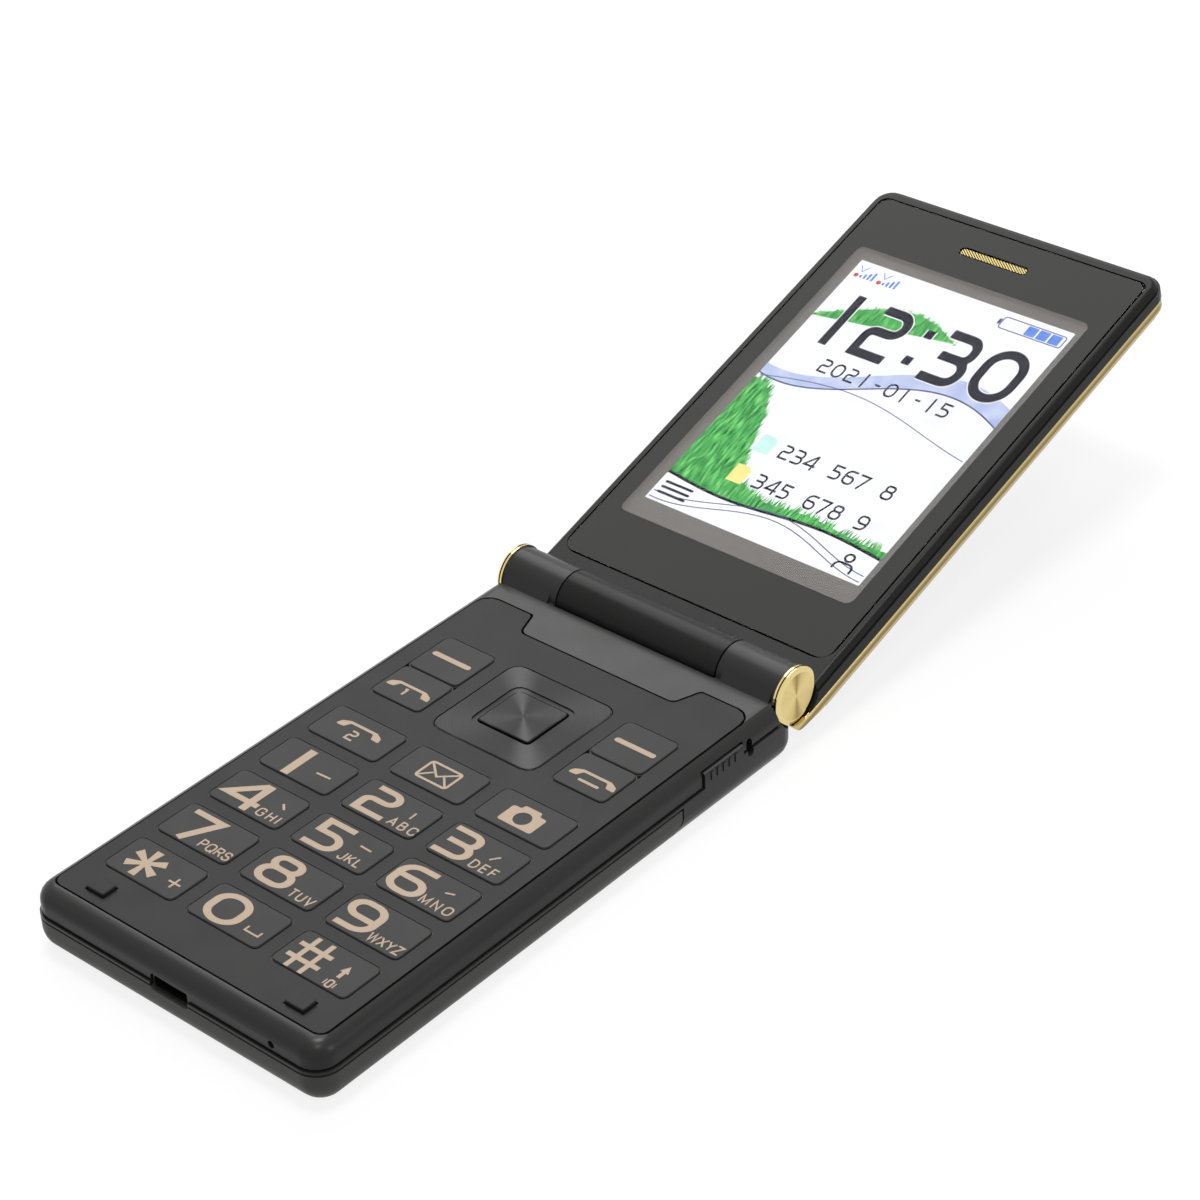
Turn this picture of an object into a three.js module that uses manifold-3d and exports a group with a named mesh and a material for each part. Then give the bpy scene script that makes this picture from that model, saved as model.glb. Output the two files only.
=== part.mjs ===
// Flip phone, opened: a keypad half and a lid half on a barrel hinge.
// Millimetres, +Z up. X runs across the phone and +Y from the keypad's front edge to the hinge.
// The origin is the centre of the keypad half's underside. The phone is drawn with its lid fully open.

import * as THREE from 'three';
import { mergeVertices } from 'three/addons/utils/BufferGeometryUtils.js';
import Module from 'manifold-3d';

const wasm = await Module();
wasm.setup();

// Driving dimensions of the keypad half
const baseWidth = 56;
const baseLength = 98.9;
const baseHeight = 10.4;
const baseCorner = 3.6;
const shoulderRadius = 2.4;
const heelRadius = 3.7;
const baseWall = 1.6;
const upperHeight = 4.2;
const railThickness = 0.45;
const lowerProud = 0.3;

// Gaps between pieces that touch or pass one another
const seamGap = 0.3;
const keyGap = 0.2;
const fitGap = 0.3;
const seatGap = 0.1;
const runningGap = 0.35;

// Keypad panel, its seat and the notch at its hinge end
const panelBackMargin = 8;
const panelMargin = 2;
const panelFrontMargin = 3;
const panelThickness = 1.2;
const panelFrontCorner = 1.4;
const panelBackCorner = 2.6;
const ledgeWidth = 1.6;
const ledgeThickness = 0.8;
const notchDepth = 4.6;
const notchBackReach = 1.2;
const notchFrontDraw = 0.4;
const notchCorner = 1.4;

// Number keys: a grid of rows and columns
const keyColumnGap = 2.65;
const keyRowGap = 2.4;
const keyRise = 0.2;
const keyCorner = 1;
const keyEdge = 0.14;
const keyTravel = 0.25;
const flangeReach = 0.7;
const flangeThickness = 0.5;
const flangeEndInset = 0.6;
const nibSize = 2.6;
const nibLength = 0.35;

// Navigation ring, its web and the centre key
const navWidthShare = 0.381;
const navBand = 5.05;
const navCorner = 2;
const okCorner = 0.5;
const navRise = 0.12;
const okGap = 0.3;
const okBorder = 1.15;
const okBorderDrop = 0.22;
const okRise = 0.24;
const webThickness = 0.2;

// Where the rows of keys lie along the panel, as shares of its length
const rowShares = {
  first: 0.1189, pitch: 0.11206, ring: 0.7679, ringSpan: 0.2162, split: 0.7605, soft: 0.1035, call: 0.0899,
};

// Side keys beside the ring: two above one another on each side
const sideKeyGap = 3;
const sideKeyMargin = 3.3;

// Rubber bumpers near the keypad's front corners
const bumperInset = 6.7;
const bumperWidth = 3.6;
const bumperLength = 2.7;
const bumperSetback = 2.95;
const bumperPocket = 0.5;
const bumperRise = 0.6;
const bumperCorner = 0.4;

// Hinge barrel
const axisPastEnd = 0.6;
const axisBelowFace = 0.83;
const barrelRadius = 4.4;
const knuckleLength = 11.16;
const barrelInset = 1.34;
const boreRadius = 3;
const moduleLength = 9.8;
const pinHeadLength = 4.6;
const pinRadius = 1.5;
const pinReach = 6.5;
const footInset = 1.2;
const footLeanDegrees = 36;

// Hinge caps
const capRadius = 4.63;
const capRimThickness = 0.3;
const capGrooveDepth = 0.3;
const capGrooveWidth = 0.15;
const capBandThickness = 0.25;
const capChamferReach = 0.78;
const capChamferRise = 0.3;
const capDish = 0.14;
const capSpigotLength = 0.9;

// Lid half, measured from the hinge axis along and across the lid
const lidRiseDegrees = 17.32;
const lidFaceBelowAxis = 2.03;
const lidSideInset = 0.3;
const lidEndInset = 0.6;
const lidCorner = 3.2;
const lidShoulder = 1.1;
const lidFrontThickness = 2.7;
const lidStepDrop = 1.15;
const lidStepProud = 0.4;
const lidThickness = 7.2;
const lidBackHeel = 1.5;
const lidCrownReach = 5;
const lidBackInset = 0.5;
const lidWall = 1.3;
const lidHollowStart = 9.5;
const lidHollowMargin = 4;
const lidNeckStart = 0.3;

// Gold trim round the lid's edge
const trimHeight = 2;
const trimDepth = 1.2;
const trimEdge = 0.45;
const trimInset = 0.1;
const trimHeel = -2.45;
const trimTailReach = 6;
const trimTailRise = 1.2;
const trimTailRadius = 1.8;

// Lid glass and display
const glassMargin = 1.65;
const glassStart = 8.67;
const glassEndMargin = 2.38;
const glassThickness = 0.7;
const glassHeelCorner = 2.6;
const glassTopCorner = 1.4;
const glassGap = 0.22;
const displayMargin = 2.55;
const displayStart = 18.2;
const displayEndMargin = 12.3;
const displayThickness = 2.1;
const displayCorner = 0.8;

// Earpiece: slot through the glass, slanted bars and the speaker behind
const earSlotWidth = 13;
const earSlotHeight = 1.5;
const earSlotEndMargin = 7.9;
const earBarCount = 21;
const earBarWidth = 0.32;
const earBarRise = 0.35;
const earBarSlantDegrees = 28;
const earPlateThickness = 0.3;
const earSpeakerWidth = 15;
const earSpeakerLength = 6;
const earSpeakerThickness = 1.3;

// Lid board and camera
const lidBoardMargin = 3.5;
const lidBoardThickness = 0.6;
const cameraReach = 22;
const cameraBody = 8.4;
const cameraBodyThickness = 0.9;
const cameraBarrelRadius = 2.6;
const cameraWindowRadius = 3.6;
const cameraWindowThickness = 0.5;
const cameraHoleRadius = 3;

// Battery bay and battery cover
const coverThickness = 1.1;
const coverWall = 1.3;
const coverEndMargin = 26.4;
const coverEndStep = 1.8;
const coverEndDrop = 2.1;
const batterySideMargin = 9.7;
const batteryBackMargin = 3.95;
const batteryFrontWall = 2.1;
const batteryCorner = 1.2;
const contactWidth = 9;
const contactLength = 2.1;
const contactDrop = 0.7;
const contactFinger = 0.9;
const contactSpread = 1.8;
const contactBridge = 1;

// Main board and key mat
const boardSideMargin = 5.6;
const boardThickness = 0.8;
const boardFrontMargin = 2.4;
const boardBackMargin = 7.4;
const matThickness = 0.5;
const matFrontMargin = 6;
const matBackMargin = 14;
const floorThickness = 0.6;

// USB socket and microphone in the front wall
const usbWidth = 6.9;
const usbHeight = 2.35;
const usbDepth = 5.2;
const usbShell = 0.3;
const usbTongue = 0.5;
const usbTongueWidth = 3.7;
const usbSetback = 0.25;
const usbCorner = 0.5;
const micInset = 8.6;
const micDrop = 2.93;
const micHoleRadius = 0.6;
const micSize = 3.6;
const micThickness = 1.05;

// Loudspeaker, vibration motor and antenna in the hinge end of the lower housing
const rearPocketMargin = 22.45;
const speakerSideWall = 3.5;
const speakerLength = 12.4;
const speakerHeadroom = 1.2;
const speakerFloor = 1.5;
const speakerCorner = 3;
const speakerStepDrop = 1.3;
const speakerRim = 1.5;
const grilleSlotCount = 5;
const grilleSlotShare = 0.49;
const grilleSlotWidth = 0.9;
const grilleSlotPitch = 1.8;
const motorLength = 9.2;
const motorCanLength = 6.3;
const motorNeckLength = 0.8;
const motorWeightDrop = 0.2;
const antennaWidth = 9.4;
const antennaLength = 11.8;
const antennaHeadroom = 1.4;
const antennaGrooveLength = 6.6;
const antennaGrooveWidth = 1.5;
const antennaGrooveOffset = 2.4;
const sidePocketInset = 10.2;
const sidePocketWidth = 10.2;

// SIM socket beside the battery
const simWidth = 27;
const simLength = 9.8;
const simThickness = 1.7;
const simSlotWidth = 12.2;
const simSlotHeight = 0.9;
const simSlotWall = 1.2;
const simSlotOffset = 6.75;

// Screws
const screwHeadRadius = 1.3;
const screwHeadHeight = 0.9;
const screwShaftRadius = 0.7;
const screwSlot = 0.3;
const screwDriveWidth = 0.5;
const screwDriveLength = 1.7;
const screwSink = 1.6;
const baseScrewInset = 3.6;
const baseScrewFrontMargin = 5.95;
const baseScrewEndGap = 0.5;
const bossRadius = 1.6;
const lidScrewInset = 5.2;
const lidScrewReach = 6.2;
const lidScrewGrip = 1;

// Raised tab, ribs and strap slot on the right side, near the hinge
const lipLength = 21.4;
const lipRise = 0.85;
const lipWall = 1.1;
const tabEndMargin = 12.65;
const tabRise = 2.6;
const ribCount = 5;
const ribWidth = 0.5;
const ribPitch = 1.35;
const ribHeight = 1.35;
const ribsDrop = 1.1;
const ribRise = 0.15;
const ribsStartInset = 1.6;
const strapSlotWidth = 1.3;
const strapSlotHeight = 2.85;
const strapSlotDepth = 2.4;
const strapSlotGap = 0.95;

// How far a cutting solid runs past the face that it opens
const overrun = 1;

// Corner radii: the least one that is drawn and the largest share of half a side
const leastCorner = 0.14;
const roundestShare = 0.96;

// Facets of round forms
const cornerFacets = 6;
const smallFacets = 3;
const barrelFacets = 40;
const pinFacets = 16;

// Places worked out from the dimensions
const frontY = -baseLength / 2;
const endY = baseLength / 2;
const panelFrontY = frontY + panelFrontMargin;
const panelLength = baseLength - panelFrontMargin - panelBackMargin;
const panelWidth = baseWidth - 2 * panelMargin;
const keyWidth = (panelWidth - 4 * keyColumnGap) / 3;
const keyLength = panelLength * rowShares.pitch - keyRowGap;
const navWidth = panelWidth * navWidthShare;
const navLength = panelLength * rowShares.ringSpan;
const okWidth = navWidth - 2 * navBand;
const okLength = navLength - 2 * navBand;
const softKeyLength = panelLength * rowShares.soft;
const callKeyLength = panelLength * rowShares.call;
const sideKeyWidth = (panelWidth - navWidth) / 2 - sideKeyGap - sideKeyMargin;
const sideKeyOffset = (navWidth + sideKeyWidth) / 2 + sideKeyGap;
const bumperOffset = panelWidth / 2 - bumperInset;
const barrelEnd = baseWidth / 2 - barrelInset;
const barrelSplit = barrelEnd - knuckleLength;
const notchBackHalf = barrelSplit + notchBackReach;
const notchFrontHalf = barrelSplit - notchFrontDraw;
const seamHeight = baseHeight - upperHeight;
const panelUnder = baseHeight - panelThickness;
const ledgeTop = panelUnder - fitGap;
const ledgeUnder = ledgeTop - ledgeThickness;
const upperUnder = seamHeight + seamGap;
const railUnder = seamHeight - railThickness;
const coverTop = railUnder - seamGap;
const coreUnder = coverThickness + fitGap;
const lowerWidth = baseWidth + 2 * lowerProud;
const lowerFrontY = frontY - lowerProud;
const coreWidth = lowerWidth - 2 * (coverWall + fitGap);
const coreFrontY = lowerFrontY + coverWall + fitGap;
const coverEndY = endY - coverEndMargin;
const simFrontY = frontY + usbSetback + usbDepth + fitGap;
const simBackY = simFrontY + simLength;
const batteryWidth = coreWidth - 2 * batterySideMargin;
const batteryFrontY = simBackY + batteryFrontWall;
const batteryBackY = coverEndY - batteryBackMargin;
const batteryLength = batteryBackY - batteryFrontY;
const boardWidth = baseWidth - 2 * boardSideMargin;
const micOffset = baseWidth / 2 - micInset;
const rearPocketY = endY - rearPocketMargin;
const sidePocketOffset = baseWidth / 2 - sidePocketInset;
const speakerWidth = 2 * (sidePocketOffset - speakerSideWall) - sidePocketWidth;
const lipStart = endY - lipLength;
const tabEnd = endY - tabEndMargin;
const axisY = endY + axisPastEnd;
const lidWidth = baseWidth - 2 * lidSideInset;
const lidReach = baseLength + axisPastEnd - lidEndInset;
const glassWidth = lidWidth - 2 * glassMargin;
const glassLength = lidReach - glassEndMargin - glassStart;
const displayWidth = glassWidth - 2 * displayMargin;
const displayLength = lidReach - displayEndMargin - displayStart;
const earSlotReach = lidReach - earSlotEndMargin;
const lidBoardWidth = displayWidth - 2 * lidBoardMargin;
const axisZ = baseHeight - axisBelowFace;
const knuckleStart = barrelSplit + fitGap;
const floorTop = seamHeight - fitGap;
const floorUnder = floorTop - floorThickness;
const batteryTop = floorUnder - seatGap;
const batteryUnder = coverThickness + fitGap + seatGap;
const contactHeight = batteryTop - batteryUnder - contactDrop;
const coverEndBend = seamHeight - coverEndDrop;
const lipHeight = seamHeight + lipRise;
const tabHeight = seamHeight + tabRise;
const boardUnder = floorTop + seatGap;
const speakerTop = floorTop - speakerHeadroom;
const motorRadius = (floorTop - seatGap - speakerFloor - keyGap) / 2 - seatGap;
const motorPocketLength = 2 * (motorRadius + fitGap + seatGap);
const boardTop = boardUnder + boardThickness;
const flangeTop = panelUnder - fitGap;
const flangeUnder = flangeTop - flangeThickness;
const nibUnder = flangeUnder - nibLength;
const matTop = nibUnder - keyTravel - seatGap;
const matUnder = matTop - matThickness;
const webTop = flangeUnder - keyTravel;

// A closed three.js geometry becomes a solid once its shared vertices are merged.
function solid(geometry) {
  const bare = geometry.clone();
  bare.deleteAttribute('normal');
  bare.deleteAttribute('uv');
  const merged = mergeVertices(bare);
  const index = [];
  for (let i = 0; i < merged.index.count; i += 3) {
    const [a, b, c] = [0, 1, 2].map((k) => merged.index.getX(i + k));
    if (a !== b && b !== c && c !== a) {
      index.push(a, b, c);
    }
  }
  return new wasm.Manifold(new wasm.Mesh({
    numProp: 3,
    vertProperties: Float32Array.from(merged.attributes.position.array),
    triVerts: Uint32Array.from(index),
  }));
}

// A solid becomes a geometry again, with flat faces.
function geometryOf(body) {
  const mesh = body.getMesh();
  const geometry = new THREE.BufferGeometry();
  geometry.setAttribute('position', new THREE.Float32BufferAttribute(mesh.vertProperties, 3));
  geometry.setIndex(Array.from(mesh.triVerts));
  geometry.computeVertexNormals();
  return geometry;
}

const join = (...bodies) => bodies.flat().reduce((whole, body) => whole.add(body));
const cut = (body, ...tools) => tools.flat().reduce((rest, tool) => rest.subtract(tool), body);

// Box between two corners
function box(from, to) {
  const size = to.map((value, i) => value - from[i]);
  const geometry = new THREE.BoxGeometry(...size);
  geometry.translate(...from.map((value, i) => value + size[i] / 2));
  return solid(geometry);
}

// Box centred on a point in plan, between two heights
function post(x, y, width, length, under, top) {
  return box([x - width / 2, y - length / 2, under], [x + width / 2, y + length / 2, top]);
}

// Cylinder along X, about a line at y and z
function barrel(radius, from, to, y, z, facets = barrelFacets) {
  const geometry = new THREE.CylinderGeometry(radius, radius, Math.abs(to - from), facets);
  geometry.rotateZ(-Math.PI / 2);
  geometry.translate((from + to) / 2, y, z);
  return solid(geometry);
}

// Cylinder along Z
function stud(radius, x, y, under, top, facets = pinFacets) {
  const geometry = new THREE.CylinderGeometry(radius, radius, top - under, facets);
  geometry.rotateX(Math.PI / 2);
  geometry.translate(x, y, (under + top) / 2);
  return solid(geometry);
}

// Cylinder along Y
function drill(radius, x, z, from, to, facets = pinFacets) {
  const geometry = new THREE.CylinderGeometry(radius, radius, to - from, facets);
  geometry.translate(x, (from + to) / 2, z);
  return solid(geometry);
}

// Rounded rectangle in plan, as a function of how far its edge is drawn in
function outline(width, fromY, toY, fromCorner, toCorner = fromCorner, x = 0) {
  return (inset) => {
    const half = width / 2 - inset;
    const low = fromY + inset;
    const high = toY - inset;
    const most = Math.min(half, (high - low) / 2) * roundestShare;
    const [a, b] = [fromCorner, toCorner].map((radius) => (
      THREE.MathUtils.clamp(radius - inset, leastCorner, most)
    ));
    const shape = new THREE.Shape();
    shape.absarc(x + half - a, low + a, a, -Math.PI / 2, 0);
    shape.absarc(x + half - b, high - b, b, 0, Math.PI / 2);
    shape.absarc(x - half + b, high - b, b, Math.PI / 2, Math.PI);
    shape.absarc(x - half + a, low + a, a, -Math.PI, -Math.PI / 2);
    return shape;
  };
}

const roundedRectangle = (x, y, width, length, corner) => (
  outline(width, y - length / 2, y + length / 2, corner, corner, x)
);

// Outline through corners given anticlockwise as [x, y, radius]
function filleted(corners) {
  const shape = new THREE.Shape();
  corners.forEach(([x, y, radius], i) => {
    const corner = new THREE.Vector2(x, y);
    const [before, after] = [corners.at(i - 1), corners[(i + 1) % corners.length]]
      .map(([u, v]) => new THREE.Vector2(u, v).sub(corner).normalize());
    const half = before.angleTo(after) / 2;
    const middle = before.clone().add(after).setLength(radius / Math.sin(half)).add(corner);
    const [start, end] = [before, after].map((direction) => (
      direction.clone().multiplyScalar(radius / Math.tan(half)).add(corner).sub(middle).angle()
    ));
    shape.absarc(middle.x, middle.y, radius, start, end, before.cross(after) > 0);
  });
  return shape;
}

// Plate between two heights whose top and bottom edges may be rounded
function plate(shapeAt, under, top, topRound = 0, underRound = 0, facets = cornerFacets) {
  const steps = facets < cornerFacets ? 1 : facets;
  const quarter = Array.from({ length: steps + 1 }, (_, i) => (i / steps) * Math.PI / 2);
  const lowLevels = underRound > 0 ? quarter.map((angle) => [
    underRound * (1 - Math.sin(angle)), under + underRound * (1 - Math.cos(angle)),
  ]) : [[0, under]];
  const highLevels = topRound > 0 ? quarter.map((angle) => [
    topRound * (1 - Math.cos(angle)), top - topRound * (1 - Math.sin(angle)),
  ]) : [[0, top]];
  return loft([...lowLevels, ...highLevels].map(([inset, z]) => ringAt(shapeAt, inset, z, facets)));
}

// Points round a shape that is drawn in by an inset, at one height; arcs take two segments a division
function ringAt(shapeAt, inset, z, facets) {
  return shapeAt(inset).getPoints(facets / 2).map(({ x, y }) => new THREE.Vector3(x, y, z));
}

// Solid through rings of equal point counts, flat at both ends
function loft(rings) {
  const count = rings[0].length;
  const index = [];
  for (let level = 0; level < rings.length - 1; level += 1) {
    for (let i = 0; i < count; i += 1) {
      const [a, b] = [i, (i + 1) % count].map((k) => level * count + k);
      index.push(a, b, b + count, a, b + count, a + count);
    }
  }
  const last = (rings.length - 1) * count;
  const contour = rings[0].map(({ x, y }) => new THREE.Vector2(x, y));
  THREE.ShapeUtils.triangulateShape(contour, []).forEach(([a, b, c]) => {
    index.push(c, b, a);
  });
  const far = rings.at(-1).map(({ x, y }) => new THREE.Vector2(x, y));
  THREE.ShapeUtils.triangulateShape(far, []).forEach(([a, b, c]) => {
    index.push(last + a, last + b, last + c);
  });
  const geometry = new THREE.BufferGeometry().setFromPoints(rings.flat());
  geometry.setIndex(index);
  return solid(geometry);
}

// Shape drawn in Y and Z, extruded along X
function alongX(shape, from, to, facets = cornerFacets) {
  const geometry = new THREE.ExtrudeGeometry(shape, {
    depth: to - from, curveSegments: facets / 2, bevelEnabled: false,
  });
  const yAxis = new THREE.Vector3(0, 1, 0);
  const zAxis = new THREE.Vector3(0, 0, 1);
  geometry.applyMatrix4(new THREE.Matrix4().makeBasis(yAxis, zAxis, new THREE.Vector3(1, 0, 0)));
  geometry.translate(from, 0, 0);
  return solid(geometry);
}

// Shape drawn in X and Z, extruded along Y at a height
function alongY(shape, from, to, z) {
  const geometry = new THREE.ExtrudeGeometry(shape, {
    depth: to - from, curveSegments: smallFacets / 2, bevelEnabled: false,
  });
  geometry.rotateX(Math.PI / 2);
  geometry.translate(0, to, z);
  return solid(geometry);
}

// Turned piece about the X axis, from a profile of [radius, x] that starts and ends on the axis
function turned(profile, y, z, facets = barrelFacets) {
  const geometry = new THREE.LatheGeometry(profile.map(([r, x]) => new THREE.Vector2(r, x)), facets);
  geometry.rotateZ(-Math.PI / 2);
  geometry.translate(0, y, z);
  return solid(geometry);
}

// Screw along Z with its head below and a crossed drive
function screw(x, y, headUnder, top) {
  const driveTop = headUnder + screwSlot;
  return cut(
    join(
      stud(screwHeadRadius, x, y, headUnder, headUnder + screwHeadHeight),
      stud(screwShaftRadius, x, y, driveTop + screwSlot, top, pinFacets / 2),
    ),
    post(x, y, screwDriveLength, screwDriveWidth, headUnder - overrun, driveTop),
    post(x, y, screwDriveWidth, screwDriveLength, headUnder - overrun, driveTop),
  );
}

// Keys

const numberRowY = (row) => panelFrontY + panelLength * (rowShares.first + row * rowShares.pitch);
const sideY = panelFrontY + panelLength * rowShares.split;
const softY = sideY + keyGap / 2 + softKeyLength / 2;
const callY = sideY - keyGap / 2 - callKeyLength / 2;
const navY = panelFrontY + panelLength * rowShares.ring;

const gridNames = [
  ['key_star', 'key_0', 'key_hash'],
  ['key_7', 'key_8', 'key_9'],
  ['key_4', 'key_5', 'key_6'],
  ['key_1', 'key_2', 'key_3'],
  ['key_call_two', 'key_message', 'key_camera'],
];

const gridKeys = gridNames.flatMap((names, row) => names.map((name, column) => ({
  name, x: (column - 1) * (keyWidth + keyColumnGap), y: numberRowY(row), width: keyWidth, length: keyLength,
})));

const sideKeys = [
  { name: 'key_soft_left', x: -sideKeyOffset, y: softY, width: sideKeyWidth, length: softKeyLength },
  { name: 'key_soft_right', x: sideKeyOffset, y: softY, width: sideKeyWidth, length: softKeyLength },
  { name: 'key_call_one', x: -sideKeyOffset, y: callY, width: sideKeyWidth, length: callKeyLength },
  { name: 'key_call_end', x: sideKeyOffset, y: callY, width: sideKeyWidth, length: callKeyLength },
];

// A key is a low cap through the panel with a flange under it and a nib over its switch.
function key({ x, y, width, length }) {
  const shapeAt = roundedRectangle(x, y, width, length, keyCorner);
  const levels = [
    [-flangeReach, flangeUnder], [-flangeReach, flangeTop], [0, flangeTop],
    [0, baseHeight + keyRise - keyEdge], [keyEdge, baseHeight + keyRise],
  ];
  return join(
    loft(levels.map(([inset, z]) => ringAt(shapeAt, inset, z, smallFacets))),
    post(x, y, nibSize, nibSize, nibUnder, flangeUnder + keyEdge),
  );
}

// A side key shares its window with its neighbour, so its flange reaches out on two sides only.
function sideKey({ x, y, width, length }) {
  const cap = roundedRectangle(x, y, width, length, keyCorner);
  return join(
    plate(cap, flangeUnder, baseHeight + keyRise, keyEdge, 0, smallFacets),
    post(x, y, width + 2 * flangeReach, length - 2 * flangeEndInset, flangeUnder, flangeTop),
    post(x, y, nibSize, nibSize, nibUnder, flangeTop),
  );
}

// The ring's inner border is sunk a little round the centre key.
function navRing() {
  const ring = roundedRectangle(0, navY, navWidth, navLength, navCorner);
  const centre = roundedRectangle(0, navY, okWidth, okLength, okCorner);
  const opened = (grow, under) => plate(() => centre(-grow), under, baseHeight + overrun, 0, 0, smallFacets);
  return cut(
    join(
      plate(ring, flangeUnder, baseHeight + navRise, keyEdge, 0, smallFacets),
      post(0, navY, navWidth + flangeReach, navLength - 2 * navCorner, flangeUnder, flangeTop),
    ),
    opened(okGap, flangeUnder - overrun),
    opened(okBorder, baseHeight + navRise - okBorderDrop),
  );
}

// Rubber web that carries the ring and lets it rock
function navWeb() {
  const web = roundedRectangle(0, navY, navWidth, navLength, navCorner);
  const hole = roundedRectangle(0, navY, okWidth, okLength, okCorner);
  return cut(
    plate(web, webTop - webThickness, webTop, 0, 0, smallFacets),
    plate(hole, webTop - webThickness - overrun, webTop + overrun, 0, 0, smallFacets),
  );
}

function okKey() {
  const cap = roundedRectangle(0, navY, okWidth, okLength, okCorner);
  return join(
    plate(cap, flangeUnder, baseHeight + okRise, keyEdge, 0, smallFacets),
    post(0, navY, nibSize, nibSize, nibUnder, flangeTop),
  );
}

// Keypad panel

// Outline of the panel, grown or shrunk by an offset
const panelOutline = (grow) => (inset) => {
  const offset = grow - inset;
  const half = panelWidth / 2 + offset;
  const low = panelFrontY - offset;
  const high = panelFrontY + panelLength + offset;
  const notchY = high - notchDepth;
  const front = Math.max(panelFrontCorner + offset, keyEdge);
  const back = Math.max(panelBackCorner + offset, keyEdge);
  return filleted([
    [half, low, front],
    [half, high, back],
    [notchBackHalf - offset, high, notchCorner / 2],
    [notchFrontHalf - offset, notchY, notchCorner],
    [offset - notchFrontHalf, notchY, notchCorner],
    [offset - notchBackHalf, high, notchCorner / 2],
    [-half, high, back],
    [-half, low, front],
  ]);
};

function keypadPanel() {
  const opening = (x, y, width, length, corner) => plate(
    roundedRectangle(x, y, width + 2 * keyGap, length + 2 * keyGap, corner + keyGap),
    panelUnder - overrun, baseHeight + overrun, 0, 0, smallFacets,
  );
  const pairLength = softKeyLength + callKeyLength + keyGap;
  const pairY = softY + softKeyLength / 2 - pairLength / 2;
  const openings = [
    ...gridKeys.map((item) => opening(item.x, item.y, item.width, item.length, keyCorner)),
    ...[-1, 1].map((side) => opening(side * sideKeyOffset, pairY, sideKeyWidth, pairLength, keyCorner)),
    opening(0, navY, navWidth, navLength, navCorner),
  ];
  const pockets = [-1, 1].map((side) => post(
    side * bumperOffset, panelFrontY + bumperSetback,
    bumperWidth + keyGap, bumperLength + keyGap, baseHeight - bumperPocket, baseHeight + overrun,
  ));
  return cut(
    plate(panelOutline(0), panelUnder, baseHeight, 0, 0, smallFacets), openings, pockets,
  );
}

function bumper(side) {
  const shape = roundedRectangle(
    side * bumperOffset, panelFrontY + bumperSetback, bumperWidth, bumperLength, bumperCorner,
  );
  return plate(shape, baseHeight - bumperPocket, baseHeight + bumperRise, keyEdge, 0, smallFacets);
}

// Housings of the keypad half

const usbZ = seamHeight + seamGap / 2;
const micZ = baseHeight - micDrop;
const baseScrewX = baseWidth / 2 - baseScrewInset;
const frontScrewY = frontY + baseScrewFrontMargin;
const rearScrewY = (numberRowY(gridNames.length - 1) + keyLength / 2 + callY - callKeyLength / 2) / 2;
const screwPlaces = [
  { name: 'front_left', x: -baseScrewX, y: frontScrewY },
  { name: 'front_right', x: baseScrewX, y: frontScrewY },
  { name: 'rear_left', x: -baseScrewX, y: rearScrewY },
  { name: 'rear_right', x: baseScrewX, y: rearScrewY },
];

// Room for the hinge: a groove for the lid's middle knuckle and a scoop round each cap
function capScoops() {
  return [-1, 1].map((side) => barrel(
    capRadius + fitGap, side * barrelEnd, side * (lowerWidth / 2 + overrun), axisY, axisZ,
  ));
}

function usbOpening() {
  const shape = roundedRectangle(0, 0, usbWidth + 2 * keyGap, usbHeight + 2 * keyGap, usbCorner + keyGap);
  return alongY(shape(0), lowerFrontY - overrun, frontY + usbSetback + usbDepth + fitGap, usbZ);
}

// Side walls raised on the lower housing: a lip near the hinge, and a tab on the right
function raisedSides(grow) {
  const inner = lowerWidth / 2 - lipWall - grow;
  const outer = lowerWidth / 2 + overrun;
  const lip = (side) => box(
    [Math.min(side * inner, side * outer), lipStart - grow, seamHeight - overrun],
    [Math.max(side * inner, side * outer), endY + overrun, lipHeight + grow],
  );
  const tab = box(
    [inner, lipStart - grow, seamHeight - overrun], [outer, tabEnd + grow, tabHeight + grow],
  );
  return [lip(-1), lip(1), tab];
}

function strapSlot() {
  const y = tabEnd + strapSlotGap + strapSlotWidth / 2;
  const z = tabHeight - strapSlotHeight / 2;
  const shape = roundedRectangle(y, z, strapSlotWidth, strapSlotHeight, strapSlotWidth / 2);
  return alongX(shape(0), lowerWidth / 2 - strapSlotDepth, lowerWidth / 2 + overrun, smallFacets);
}

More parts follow.
